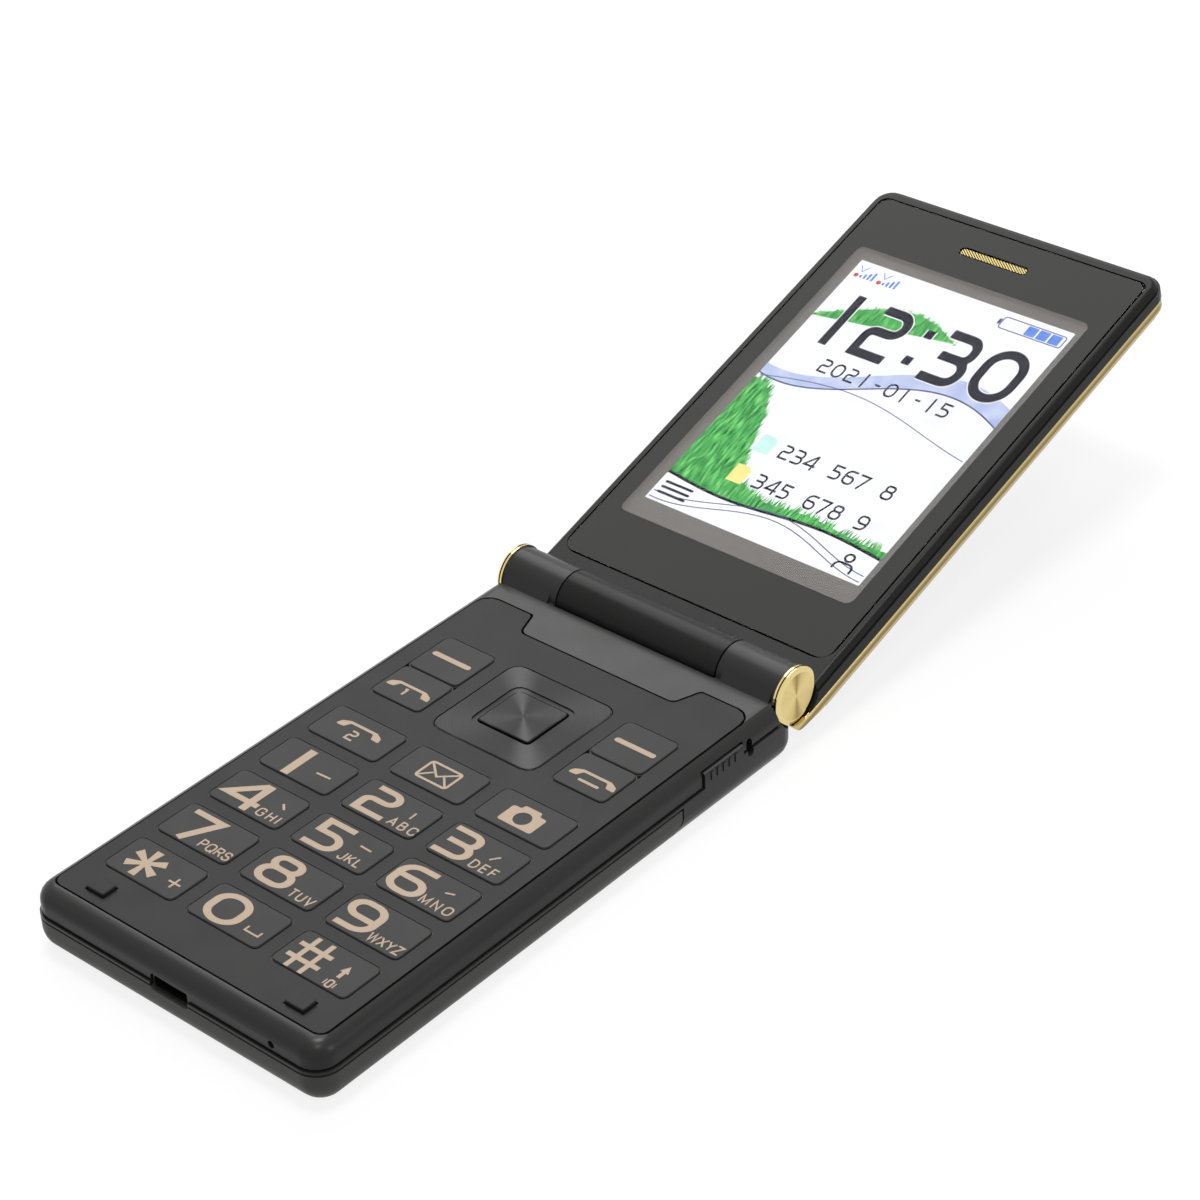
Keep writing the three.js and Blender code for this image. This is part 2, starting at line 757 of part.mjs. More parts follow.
function upperHousing() {
  const shell = plate(
    outline(baseWidth, frontY, endY, baseCorner), upperUnder, baseHeight, shoulderRadius,
  );
  const hollowEnd = panelFrontY + panelLength + ledgeWidth / 2;
  const hollow = plate(
    outline(baseWidth - 2 * baseWall, frontY + baseWall, hollowEnd, baseCorner - baseWall),
    upperUnder - overrun, ledgeUnder,
  );
  const bosses = screwPlaces.map(({ x, y }) => stud(bossRadius, x, y, upperUnder, ledgeUnder + keyGap));
  const bores = screwPlaces.map(({ x, y }) => stud(
    screwShaftRadius + fitGap, x, y, upperUnder - overrun, ledgeUnder - fitGap, pinFacets / 2,
  ));
  const knuckles = [-1, 1].map((side) => barrel(
    barrelRadius, side * knuckleStart, side * barrelEnd, axisY, axisZ,
  ));
  const lean = THREE.MathUtils.degToRad(footLeanDegrees);
  const footUnder = baseHeight - keyEdge;
  const leaveY = axisY - barrelRadius * Math.cos(lean);
  const leaveZ = axisZ + barrelRadius * Math.sin(lean);
  const feet = [-1, 1].map((side) => {
    const foot = new THREE.Shape([
      new THREE.Vector2(leaveY - (leaveZ - footUnder) * Math.tan(lean), footUnder),
      new THREE.Vector2(axisY, footUnder),
      new THREE.Vector2(leaveY, leaveZ),
    ]);
    const ends = [side * (knuckleStart + footInset), side * (barrelEnd - footInset / 2)];
    return alongX(foot, Math.min(...ends), Math.max(...ends));
  });
  const moduleBores = [-1, 1].map((side) => barrel(
    boreRadius, side * (knuckleStart - overrun), side * (barrelEnd + overrun), axisY, axisZ, pinFacets,
  ));
  const groove = barrel(barrelRadius + runningGap, -knuckleStart, knuckleStart, axisY, axisZ);
  const cased = cut(
    shell,
    plate(panelOutline(fitGap), ledgeTop, baseHeight + overrun),
    plate(panelOutline(-ledgeWidth), ledgeUnder - overrun, ledgeTop + overrun),
    hollow,
    groove,
    capScoops(),
  );
  return cut(
    join(cased, bosses, knuckles, feet),
    bores,
    moduleBores,
    raisedSides(seamGap),
    usbOpening(),
    strapSlot(),
    drill(micHoleRadius, micOffset, micZ, frontY - overrun, frontY + baseWall + overrun, pinFacets / 2),
  );
}

// Everything on the hinge side of the battery cover's end, which steps forward below the side wall
function behindCover(shift) {
  const y = coverEndY + shift;
  const far = baseLength;
  const profile = new THREE.Shape();
  profile.moveTo(y, baseHeight + overrun);
  profile.lineTo(y, coverEndBend);
  profile.absarc(y - coverEndStep, coverEndBend, coverEndStep, 0, -Math.PI / 2, true);
  profile.lineTo(y - coverEndStep, -overrun);
  profile.lineTo(far, -overrun);
  profile.lineTo(far, baseHeight + overrun);
  profile.closePath();
  return alongX(profile, -baseWidth, baseWidth);
}

const lowerOutline = () => outline(lowerWidth, lowerFrontY, endY, baseCorner + lowerProud, baseCorner);

const bayWidth = batteryWidth + 2 * fitGap;
const bayBackY = batteryBackY + contactLength + 2 * fitGap;

function lowerHousing() {
  const rail = plate(lowerOutline(), railUnder, seamHeight);
  const core = plate(
    outline(coreWidth, coreFrontY, coverEndY + overrun, baseCorner - coverWall), coreUnder, seamHeight,
  );
  const rear = plate(lowerOutline(), 0, seamHeight, 0, heelRadius).intersect(behindCover(seamGap / 2));
  const sides = plate(
    outline(lowerWidth, lowerFrontY, endY, baseCorner + lowerProud, baseCorner),
    railUnder, baseHeight + lowerProud, shoulderRadius,
  );
  const lips = raisedSides(0).map((region) => region.intersect(sides));
  const tray = plate(
    outline(baseWidth - 2 * baseWall, frontY + baseWall, endY - boardBackMargin + fitGap, keyCorner),
    floorTop, seamHeight + overrun,
  );
  const bay = box(
    [-bayWidth / 2, batteryFrontY - fitGap, -overrun], [bayWidth / 2, bayBackY, floorUnder],
  );
  const simBay = post(
    0, simBackY - simLength / 2, simWidth + 2 * fitGap, simLength + 2 * fitGap, -overrun, floorUnder,
  );
  const speakerBay = post(
    0, rearPocketY + speakerLength / 2, speakerWidth + 2 * fitGap, speakerLength + 2 * fitGap,
    speakerFloor, seamHeight + overrun,
  );
  const sideBay = (side, length) => post(
    side * sidePocketOffset, rearPocketY + length / 2, sidePocketWidth, length + 2 * fitGap,
    speakerFloor, seamHeight + overrun,
  );
  const firstSlot = rearPocketY + speakerLength / 2 - (grilleSlotCount - 1) * grilleSlotPitch / 2;
  const slots = Array.from({ length: grilleSlotCount }, (_, i) => post(
    0, firstSlot + i * grilleSlotPitch, speakerWidth * grilleSlotShare, grilleSlotWidth,
    -overrun, speakerFloor + overrun,
  ));
  const holes = screwPlaces.flatMap(({ x, y }) => [
    stud(screwShaftRadius + fitGap, x, y, coreUnder - overrun, seamHeight + overrun, pinFacets / 2),
    stud(screwHeadRadius + fitGap, x, y, coreUnder - overrun, coreUnder + screwSink),
  ]);
  const ribs = Array.from({ length: ribCount }, (_, i) => {
    const y = lipStart + ribsStartInset + i * ribPitch;
    const z = tabHeight - ribsDrop;
    const face = lowerWidth / 2;
    return box(
      [face - ribRise, y - ribWidth / 2, z - ribHeight / 2],
      [face + ribRise, y + ribWidth / 2, z + ribHeight / 2],
    );
  });
  return cut(
    join(rail, core, rear, lips, ribs),
    tray, bay, simBay, speakerBay, slots, holes,
    sideBay(-1, antennaLength), sideBay(1, motorPocketLength),
    barrel(barrelRadius + runningGap, -barrelEnd, barrelEnd, axisY, axisZ),
    capScoops(),
    usbOpening(),
    strapSlot(),
  );
}

function batteryCover() {
  const outer = plate(lowerOutline(), 0, coverTop, 0, heelRadius);
  const inner = plate(
    outline(coreWidth + 2 * fitGap, coreFrontY - fitGap, baseLength, baseCorner - coverWall + fitGap),
    coverThickness, coverTop + overrun,
  );
  return cut(outer, inner, behindCover(-seamGap / 2), usbOpening());
}

// Pieces inside the keypad half

function battery() {
  const shape = roundedRectangle(
    0, batteryFrontY + batteryLength / 2, batteryWidth, batteryLength, batteryCorner,
  );
  return plate(shape, batteryUnder, batteryTop, keyEdge, keyEdge, smallFacets);
}

function batteryContacts() {
  const y = batteryBackY + fitGap + seatGap + contactLength / 2;
  const block = post(0, y, contactWidth, contactLength, floorUnder - contactHeight, floorUnder);
  const grooves = [-1, 1].map((side) => post(
    side * contactSpread, y - contactLength / 2, contactFinger, contactLength,
    floorUnder - contactHeight - overrun, floorUnder - contactBridge,
  ));
  return cut(block, grooves);
}

function simSocket() {
  const y = simBackY - simLength / 2;
  const shell = post(0, y, simWidth, simLength, floorUnder - simThickness, floorUnder);
  const slotZ = floorUnder - simThickness / 2;
  const slots = [-1, 1].map((side) => box(
    [side * simSlotOffset - simSlotWidth / 2, simFrontY + simSlotWall, slotZ - simSlotHeight / 2],
    [side * simSlotOffset + simSlotWidth / 2, simBackY + overrun, slotZ + simSlotHeight / 2],
  ));
  return cut(shell, slots);
}

const boardFrontY = frontY + boardFrontMargin;

function mainBoard() {
  const board = box(
    [-boardWidth / 2, boardFrontY, boardUnder], [boardWidth / 2, endY - boardBackMargin, boardTop],
  );
  const notchEnd = frontY + usbSetback + usbDepth + fitGap;
  const notchHalf = usbWidth / 2 + fitGap;
  return cut(board, box(
    [-notchHalf, boardFrontY - overrun, boardUnder - overrun], [notchHalf, notchEnd, boardTop + overrun],
  ));
}

function keyMat() {
  return box(
    [-boardWidth / 2, frontY + matFrontMargin, matUnder],
    [boardWidth / 2, endY - matBackMargin, matTop],
  );
}

function usbSocket() {
  const y = frontY + usbSetback;
  const tube = (inset, from, to) => alongY(
    roundedRectangle(0, 0, usbWidth, usbHeight, usbCorner)(inset), from, to, usbZ,
  );
  const shell = cut(tube(0, y, y + usbDepth), tube(usbShell, y - overrun, y + usbDepth - usbShell));
  const tongue = box(
    [-usbTongueWidth / 2, y + usbShell * 2, usbZ],
    [usbTongueWidth / 2, y + usbDepth - usbShell / 2, usbZ + usbTongue],
  );
  return join(shell, tongue);
}

function microphone() {
  const y = boardFrontY + micSize / 2;
  return stud(micSize / 2, micOffset, y, boardTop, boardTop + micThickness);
}

function loudspeaker() {
  const y = rearPocketY + speakerLength / 2;
  const shape = (inset) => roundedRectangle(
    0, y, speakerWidth - inset, speakerLength - inset, speakerCorner - inset / 2,
  );
  return join(
    plate(shape(0), speakerFloor, speakerTop - speakerStepDrop, 0, 0, smallFacets),
    plate(shape(speakerRim), speakerFloor, speakerTop, 0, 0, smallFacets),
  );
}

function vibrationMotor() {
  const y = rearPocketY + motorPocketLength / 2;
  const from = sidePocketOffset - motorLength / 2;
  const can = from + motorCanLength;
  const z = speakerFloor + motorRadius + keyGap;
  return join(
    barrel(motorRadius, from, can, y, z, pinFacets),
    barrel(screwShaftRadius, can - keyGap, can + motorNeckLength + keyGap, y, z, pinFacets / 2),
    barrel(motorRadius - motorWeightDrop, can + motorNeckLength, from + motorLength, y, z, pinFacets),
  );
}

function antenna() {
  const y = rearPocketY + antennaLength / 2;
  const top = floorTop - antennaHeadroom;
  const carrier = post(-sidePocketOffset, y, antennaWidth, antennaLength, speakerFloor, top);
  const grooves = [-1, 1].map((side) => post(
    -sidePocketOffset, y + side * antennaGrooveOffset, antennaGrooveLength, antennaGrooveWidth,
    (speakerFloor + top) / 2, top + overrun,
  ));
  return cut(carrier, grooves);
}

// Hinge pieces held by the keypad half

// Cap on the barrel's end: a spigot, a rim, a thin groove, a second rim and a chamfered, slightly dished face
function hingeCap(side) {
  const rimFrom = barrelEnd;
  const grooveFrom = rimFrom + capRimThickness;
  const faceFrom = grooveFrom + capGrooveWidth;
  const bandTo = faceFrom + capBandThickness;
  const faceTo = bandTo + capChamferRise;
  const neck = capRadius - capGrooveDepth;
  const profile = [
    [0, rimFrom - capSpigotLength],
    [boreRadius - keyGap, rimFrom - capSpigotLength],
    [boreRadius - keyGap, rimFrom],
    [capRadius, rimFrom],
    [capRadius, grooveFrom],
    [neck, grooveFrom],
    [neck, faceFrom],
    [capRadius, faceFrom],
    [capRadius, bandTo],
    [capRadius - capChamferReach, faceTo],
    [0, faceTo - capDish],
  ].map(([radius, x]) => [radius, side * x]);
  return turned(side > 0 ? profile : profile.reverse(), axisY, axisZ);
}

const moduleEnd = barrelEnd - capSpigotLength - fitGap;

// Spring hinge in the right knuckle: its body sits in the base and its shaft drives the lid
function hingeModule() {
  const from = Math.max(moduleEnd - moduleLength, knuckleStart);
  return join(
    barrel(boreRadius - keyGap, from, moduleEnd, axisY, axisZ, pinFacets),
    barrel(pinRadius, barrelSplit - pinReach, from + overrun, axisY, axisZ, pinFacets),
  );
}

// Plain pin in the left knuckle
function hingePin() {
  return join(
    barrel(boreRadius - keyGap, -moduleEnd, pinHeadLength - moduleEnd, axisY, axisZ, pinFacets),
    barrel(pinRadius, pinHeadLength - moduleEnd - overrun, pinReach - barrelSplit, axisY, axisZ, pinFacets),
  );
}

// Lid half, drawn flat about its hinge axis: +Y along the lid and +Z out of its inner face

const faceZ = -lidFaceBelowAxis;
const frontUnder = faceZ - lidFrontThickness;
const lidScrewX = lidWidth / 2 - lidScrewInset;
const trimTop = frontUnder - seamGap;
const trimUnder = trimTop - trimHeight;
const backTop = trimUnder - seamGap;
const lidUnder = faceZ - lidThickness;
const hollowUnder = lidUnder + lidWall;
const stepWidth = lidWidth + 2 * lidStepProud;
const stepReach = lidReach + lidStepProud;
const trimWidth = stepWidth - 2 * trimInset;
const trimReach = stepReach - trimInset;
const lidCoreWidth = trimWidth - 2 * (trimDepth + fitGap);
const lidCoreReach = trimReach - trimDepth - fitGap;
const displayTop = faceZ - glassThickness - fitGap;
const displayUnder = displayTop - displayThickness;
const lidBoardTop = displayUnder - fitGap;
const lidBoardUnder = lidBoardTop - lidBoardThickness;

// The outer knuckles and caps belong to the keypad half, and the lid keeps clear of them.
function outerKnuckleRoom(gap = fitGap) {
  return [-1, 1].map((side) => barrel(
    capRadius + gap, side * barrelSplit, side * (stepWidth / 2 + overrun), 0, 0,
  ));
}

function earSlot(grow, under, top) {
  const shape = roundedRectangle(
    0, earSlotReach, earSlotWidth + 2 * grow, earSlotHeight + 2 * grow, earSlotHeight / 2,
  );
  return plate(shape, under, top, 0, 0, smallFacets);
}

function glassOutline(grow) {
  return outline(
    glassWidth + 2 * grow, glassStart - grow, glassStart + glassLength + grow,
    glassHeelCorner + grow, glassTopCorner + grow,
  );
}

const displayOutline = (grow) => roundedRectangle(
  0, displayStart + displayLength / 2, displayWidth + 2 * grow, displayLength + 2 * grow, displayCorner,
);

function lidFrontHousing() {
  const face = plate(
    outline(lidWidth, lidNeckStart, lidReach, keyEdge, lidCorner), frontUnder, faceZ, lidShoulder,
  );
  const heel = box([-lidWidth / 2, lidNeckStart, frontUnder], [lidWidth / 2, glassStart - glassGap, faceZ]);
  const edge = plate(
    outline(lidWidth, lidNeckStart - lidCorner, lidReach, lidShoulder + keyEdge, lidCorner),
    frontUnder, faceZ, lidShoulder,
  );
  const step = plate(
    outline(stepWidth, lidNeckStart, stepReach, keyEdge, lidCorner + lidStepProud),
    frontUnder, faceZ - lidStepDrop,
  );
  const knuckle = barrel(barrelRadius, -barrelSplit, barrelSplit, 0, 0);
  const sockets = [-1, 1].map((side) => barrel(
    pinRadius + fitGap, side * (barrelSplit - pinReach - fitGap), side * (barrelSplit + overrun),
    0, 0, pinFacets,
  ));
  const screwHoles = [-1, 1].map((side) => stud(
    screwShaftRadius + fitGap, side * lidScrewX, lidScrewReach,
    frontUnder - overrun, frontUnder + lidScrewGrip + fitGap, pinFacets / 2,
  ));
  const body = join(face.add(heel).intersect(edge), step);
  return cut(
    join(cut(body, outerKnuckleRoom()), knuckle),
    plate(glassOutline(glassGap), faceZ - glassThickness - fitGap / 2, faceZ + overrun),
    plate(displayOutline(fitGap), frontUnder - overrun, faceZ + overrun, 0, 0, smallFacets),
    earSlot(keyGap, frontUnder - overrun, faceZ + overrun),
    sockets,
    screwHoles,
  );
}

function lidGlass() {
  const pane = plate(glassOutline(0), faceZ - glassThickness, faceZ);
  return cut(pane, earSlot(0, faceZ - glassThickness - overrun, faceZ + overrun));
}

// The trim's two tails rise and end in a round under the hinge caps.
function lidTrim() {
  const far = trimReach + overrun;
  const tailTop = trimUnder + trimTailRise + trimTailRadius;
  const slope = trimTailRise / (trimTailReach - trimHeel);
  const band = (top) => plate(
    outline(trimWidth, trimHeel - trimTailRadius, trimReach, trimTailRadius, lidCorner + lidStepProud),
    trimUnder, top, trimEdge, trimEdge,
  );
  const upTo = (reach) => alongX(filleted([
    [trimHeel, trimUnder + trimTailRise, trimTailRadius],
    [reach, trimUnder - (reach - trimTailReach) * slope, leastCorner],
    [reach, tailTop + overrun, leastCorner],
    [trimHeel, tailTop + overrun, leastCorner],
  ]), -trimWidth, trimWidth);
  const inside = plate(
    outline(
      trimWidth - 2 * trimDepth, -far, trimReach - trimDepth, lidCorner,
      lidCorner + lidStepProud - trimDepth,
    ),
    trimUnder - overrun, tailTop + overrun,
  );
  return cut(
    join(band(trimTop).intersect(upTo(far)), band(tailTop).intersect(upTo(lidNeckStart - seamGap))),
    inside, outerKnuckleRoom(keyGap),
  );
}

function lidBackCover() {
  const rim = (inset) => outline(
    trimWidth - 2 * inset, lidBackHeel + inset, trimReach - inset, lidCorner, lidCorner,
  )(0);
  const crown = Array.from({ length: cornerFacets + 1 }, (_, i) => {
    const turn = (1 - i / cornerFacets) * Math.PI / 2;
    const inset = lidBackInset + lidCrownReach * (1 - Math.cos(turn));
    return ringAt(rim, inset, backTop + (lidUnder - backTop) * Math.sin(turn), cornerFacets);
  });
  const core = plate(
    outline(
      lidCoreWidth, lidBackHeel, lidCoreReach, trimTailRadius, lidCorner - trimDepth,
    ),
    backTop - overrun, trimTop,
  );
  const hollow = plate(
    outline(
      lidCoreWidth - lidHollowMargin / 2, lidHollowStart, lidCoreReach - lidWall, keyCorner,
      lidCorner - trimDepth - lidWall / 2,
    ),
    hollowUnder, trimTop + overrun,
  );
  const windowSeat = stud(
    cameraWindowRadius + keyGap, 0, cameraReach,
    lidUnder - overrun, lidUnder + cameraWindowThickness + keyGap, barrelFacets / 2,
  );
  const screwHoles = [-1, 1].flatMap((side) => [
    stud(
      screwShaftRadius + fitGap, side * lidScrewX, lidScrewReach,
      lidUnder - overrun, trimTop + overrun, pinFacets / 2,
    ),
    stud(
      screwHeadRadius + fitGap, side * lidScrewX, lidScrewReach,
      lidUnder - overrun, lidUnder + screwSink,
    ),
  ]);
  return cut(
    join(loft(crown), core), hollow, windowSeat, screwHoles, outerKnuckleRoom(),
    stud(cameraHoleRadius, 0, cameraReach, lidUnder - overrun, hollowUnder + overrun),
    barrel(barrelRadius + fitGap, -barrelSplit - fitGap, barrelSplit + fitGap, 0, 0),
  );
}

function displayModule() {
  return plate(displayOutline(0), displayUnder, displayTop, 0, 0, smallFacets);
}

// Plate under the slot with a row of slanted bars
function earpieceGrille() {
  const top = faceZ - keyEdge;
  const under = top - earBarRise;
  const base = earSlot(-keyGap / 2, under - earPlateThickness, under);
  const limit = earSlot(-keyGap / 2, under - earPlateThickness, top);
  const pitch = (earSlotWidth - keyGap) / earBarCount;
  const bars = Array.from({ length: earBarCount }, (_, i) => {
    const geometry = new THREE.BoxGeometry(earBarWidth, earSlotHeight * 2, earBarRise + keyEdge);
    geometry.rotateZ(-THREE.MathUtils.degToRad(earBarSlantDegrees));
    geometry.translate((i - (earBarCount - 1) / 2) * pitch, earSlotReach, top - (earBarRise + keyEdge) / 2);
    return solid(geometry);
  });
  return join(base, join(bars).intersect(limit));
}

function earpieceSpeaker() {
  const shape = roundedRectangle(0, earSlotReach, earSpeakerWidth, earSpeakerLength, earSlotHeight);
  const top = frontUnder - fitGap;
  return plate(shape, top - earSpeakerThickness, top, 0, 0, smallFacets);
}

function lidBoard() {
  const end = displayStart + displayLength;
  return box(
    [-lidBoardWidth / 2, lidHollowStart + fitGap, lidBoardUnder], [lidBoardWidth / 2, end, lidBoardTop],
  );
}

function cameraModule() {
  const top = lidBoardUnder - keyGap;
  return join(
    post(0, cameraReach, cameraBody, cameraBody, top - cameraBodyThickness, top),
    stud(cameraBarrelRadius, 0, cameraReach, lidUnder + cameraWindowThickness + fitGap, top - keyEdge),
  );
}

function cameraWindow() {
  return stud(
    cameraWindowRadius, 0, cameraReach, lidUnder + keyEdge / 2, lidUnder + cameraWindowThickness,
    barrelFacets / 2,
  );
}

const lidScrew = (side) => screw(
  side * lidScrewX, lidScrewReach, lidUnder + screwSink - screwHeadHeight, frontUnder + lidScrewGrip,
);
const baseScrew = ({ x, y }) => screw(
  x, y, coreUnder + screwSink - screwHeadHeight, ledgeUnder - baseScrewEndGap,
);

// Materials

const looks = {
  casing: { color: 0x3b3b3b, roughness: 0.5 },
  cover: { color: 0x333333, roughness: 0.55 },
  panel: { color: 0x424242, roughness: 0.4 },
  key: { color: 0x444444, roughness: 0.38 },
  gold: { color: 0xd9bf6f, roughness: 0.25, metalness: 1 },
  glass: { color: 0x4a4a48, roughness: 0.12 },
  rubber: { color: 0x2a2a2a, roughness: 0.8 },
  steel: { color: 0xb9bcc0, roughness: 0.3, metalness: 1 },
  board: { color: 0x1f5a3a, roughness: 0.5 },
  display: { color: 0x7d7875, roughness: 0.3 },
  sleeve: { color: 0x2f3e55, roughness: 0.5 },
  dark: { color: 0x1e1e1e, roughness: 0.6 },
  copper: { color: 0xc9a063, roughness: 0.35, metalness: 1 },
};

function piece(name, body, look) {
  const mesh = new THREE.Mesh(geometryOf(body), new THREE.MeshStandardMaterial(looks[look]));
  mesh.name = name;
  return mesh;
}

const phone = new THREE.Group();

phone.add(
  piece('upper_housing', upperHousing(), 'casing'),
  piece('lower_housing', lowerHousing(), 'casing'),
  piece('battery_cover', batteryCover(), 'cover'),
  piece('battery', battery(), 'sleeve'),
  piece('battery_contacts', batteryContacts(), 'dark'),
  piece('sim_socket', simSocket(), 'steel'),
  piece('main_board', mainBoard(), 'board'),
  piece('key_mat', keyMat(), 'rubber'),
  piece('keypad_panel', keypadPanel(), 'panel'),
  piece('usb_socket', usbSocket(), 'steel'),
  piece('microphone', microphone(), 'steel'),
  piece('loudspeaker', loudspeaker(), 'dark'),
  piece('vibration_motor', vibrationMotor(), 'steel'),
  piece('antenna', antenna(), 'copper'),
  piece('hinge_cap_left', hingeCap(-1), 'gold'),
  piece('hinge_cap_right', hingeCap(1), 'gold'),
  piece('hinge_module', hingeModule(), 'steel'),
  piece('hinge_pin', hingePin(), 'steel'),
  piece('bumper_left', bumper(-1), 'rubber'),
  piece('bumper_right', bumper(1), 'rubber'),
  ...screwPlaces.map((place) => piece(`base_screw_${place.name}`, baseScrew(place), 'steel')),
  piece('nav_web', navWeb(), 'rubber'),
  piece('nav_ring', navRing(), 'key'),
  piece('key_ok', okKey(), 'key'),
  ...sideKeys.map((item) => piece(item.name, sideKey(item), 'key')),
  ...gridKeys.map((item) => piece(item.name, key(item), 'key')),
);

const lid = new THREE.Group();
lid.position.set(0, axisY, axisZ);
lid.rotation.x = THREE.MathUtils.degToRad(lidRiseDegrees);
lid.add(
  piece('lid_front_housing', lidFrontHousing(), 'casing'),
  piece('lid_back_cover', lidBackCover(), 'cover'),
  piece('lid_trim', lidTrim(), 'gold'),
  piece('lid_glass', lidGlass(), 'glass'),
  piece('display_module', displayModule(), 'display'),
  piece('earpiece_grille', earpieceGrille(), 'gold'),
  piece('earpiece_speaker', earpieceSpeaker(), 'dark'),
  piece('lid_board', lidBoard(), 'board'),
  piece('camera_module', cameraModule(), 'dark'),
  piece('camera_window', cameraWindow(), 'glass'),
  piece('lid_screw_left', lidScrew(-1), 'steel'),
  piece('lid_screw_right', lidScrew(1), 'steel'),
);
phone.add(lid);

export default phone;
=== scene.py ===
import math
import random
import bmesh
import bpy
from mathutils import Matrix, Vector
from mathutils.geometry import delaunay_2d_cdt

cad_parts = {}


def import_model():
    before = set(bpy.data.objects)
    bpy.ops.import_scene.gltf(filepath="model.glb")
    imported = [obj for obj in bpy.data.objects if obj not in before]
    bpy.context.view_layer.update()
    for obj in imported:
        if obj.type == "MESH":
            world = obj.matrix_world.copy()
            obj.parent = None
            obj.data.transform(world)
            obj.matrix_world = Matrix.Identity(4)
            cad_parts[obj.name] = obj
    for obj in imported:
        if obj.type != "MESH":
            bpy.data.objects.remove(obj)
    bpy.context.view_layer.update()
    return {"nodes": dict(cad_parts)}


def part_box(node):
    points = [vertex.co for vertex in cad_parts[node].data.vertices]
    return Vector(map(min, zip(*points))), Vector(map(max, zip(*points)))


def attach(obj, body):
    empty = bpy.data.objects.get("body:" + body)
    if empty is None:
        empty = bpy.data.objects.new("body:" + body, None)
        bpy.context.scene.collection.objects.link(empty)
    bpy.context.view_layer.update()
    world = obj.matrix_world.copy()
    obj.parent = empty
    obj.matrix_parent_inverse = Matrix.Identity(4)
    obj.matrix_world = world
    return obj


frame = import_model()
nodes = frame["nodes"]
scene = bpy.context.scene
MM = 0.001

# The lid's own frame: X across, Y along the lid from the hinge axis, Z out of its inner face.
AXIS = Vector((0.0, 50.05, 9.57)) * MM
LID_RISE = math.radians(17.32)
LID = Matrix.Translation(AXIS) @ Matrix.Rotation(LID_RISE, 4, "X")
BASE = Matrix.Identity(4)
RING_MIDDLE = (0, 21.05 * MM, 0)

# Places and sizes on the CAD's pieces, in mm; those of the lid are in its own frame.
STRIP_UNDER, STRIP_TOP = -7.03, -5.03
CAP_GROOVE_X, CAP_GROOVE_HALF, CAP_FACE_RADIUS = 27.135, 0.08, 3.84
KEY_RISE = 0.2
MASK_TOP, SCREEN_BACK = -2.02, -3.02
MASK_MIDDLE, MASK_WIDTH, MASK_LENGTH, MASK_CORNER = 52.6, 51.9, 87.65, 1.9
WINDOW_MIDDLE, WINDOW_WIDTH, WINDOW_LENGTH, WINDOW_CORNER = 52.18, 45.5, 65.82, 1.3
EAR_MIDDLE, EAR_LENGTH, EAR_WIDTH, EAR_BARS = 91.0, 12.76, 1.28, 21
EAR_BARS_TOP = -2.14
EAR_SLANT = math.radians(53)
SCREEN_X, SCREEN_LOW, SCREEN_HIGH = 21.1, 23.63, 83.0


# Materials

# Sockets of the colour mix node, which go by number because their names repeat
MIX_BELOW, MIX_ABOVE, MIX_RESULT = 6, 7, 2


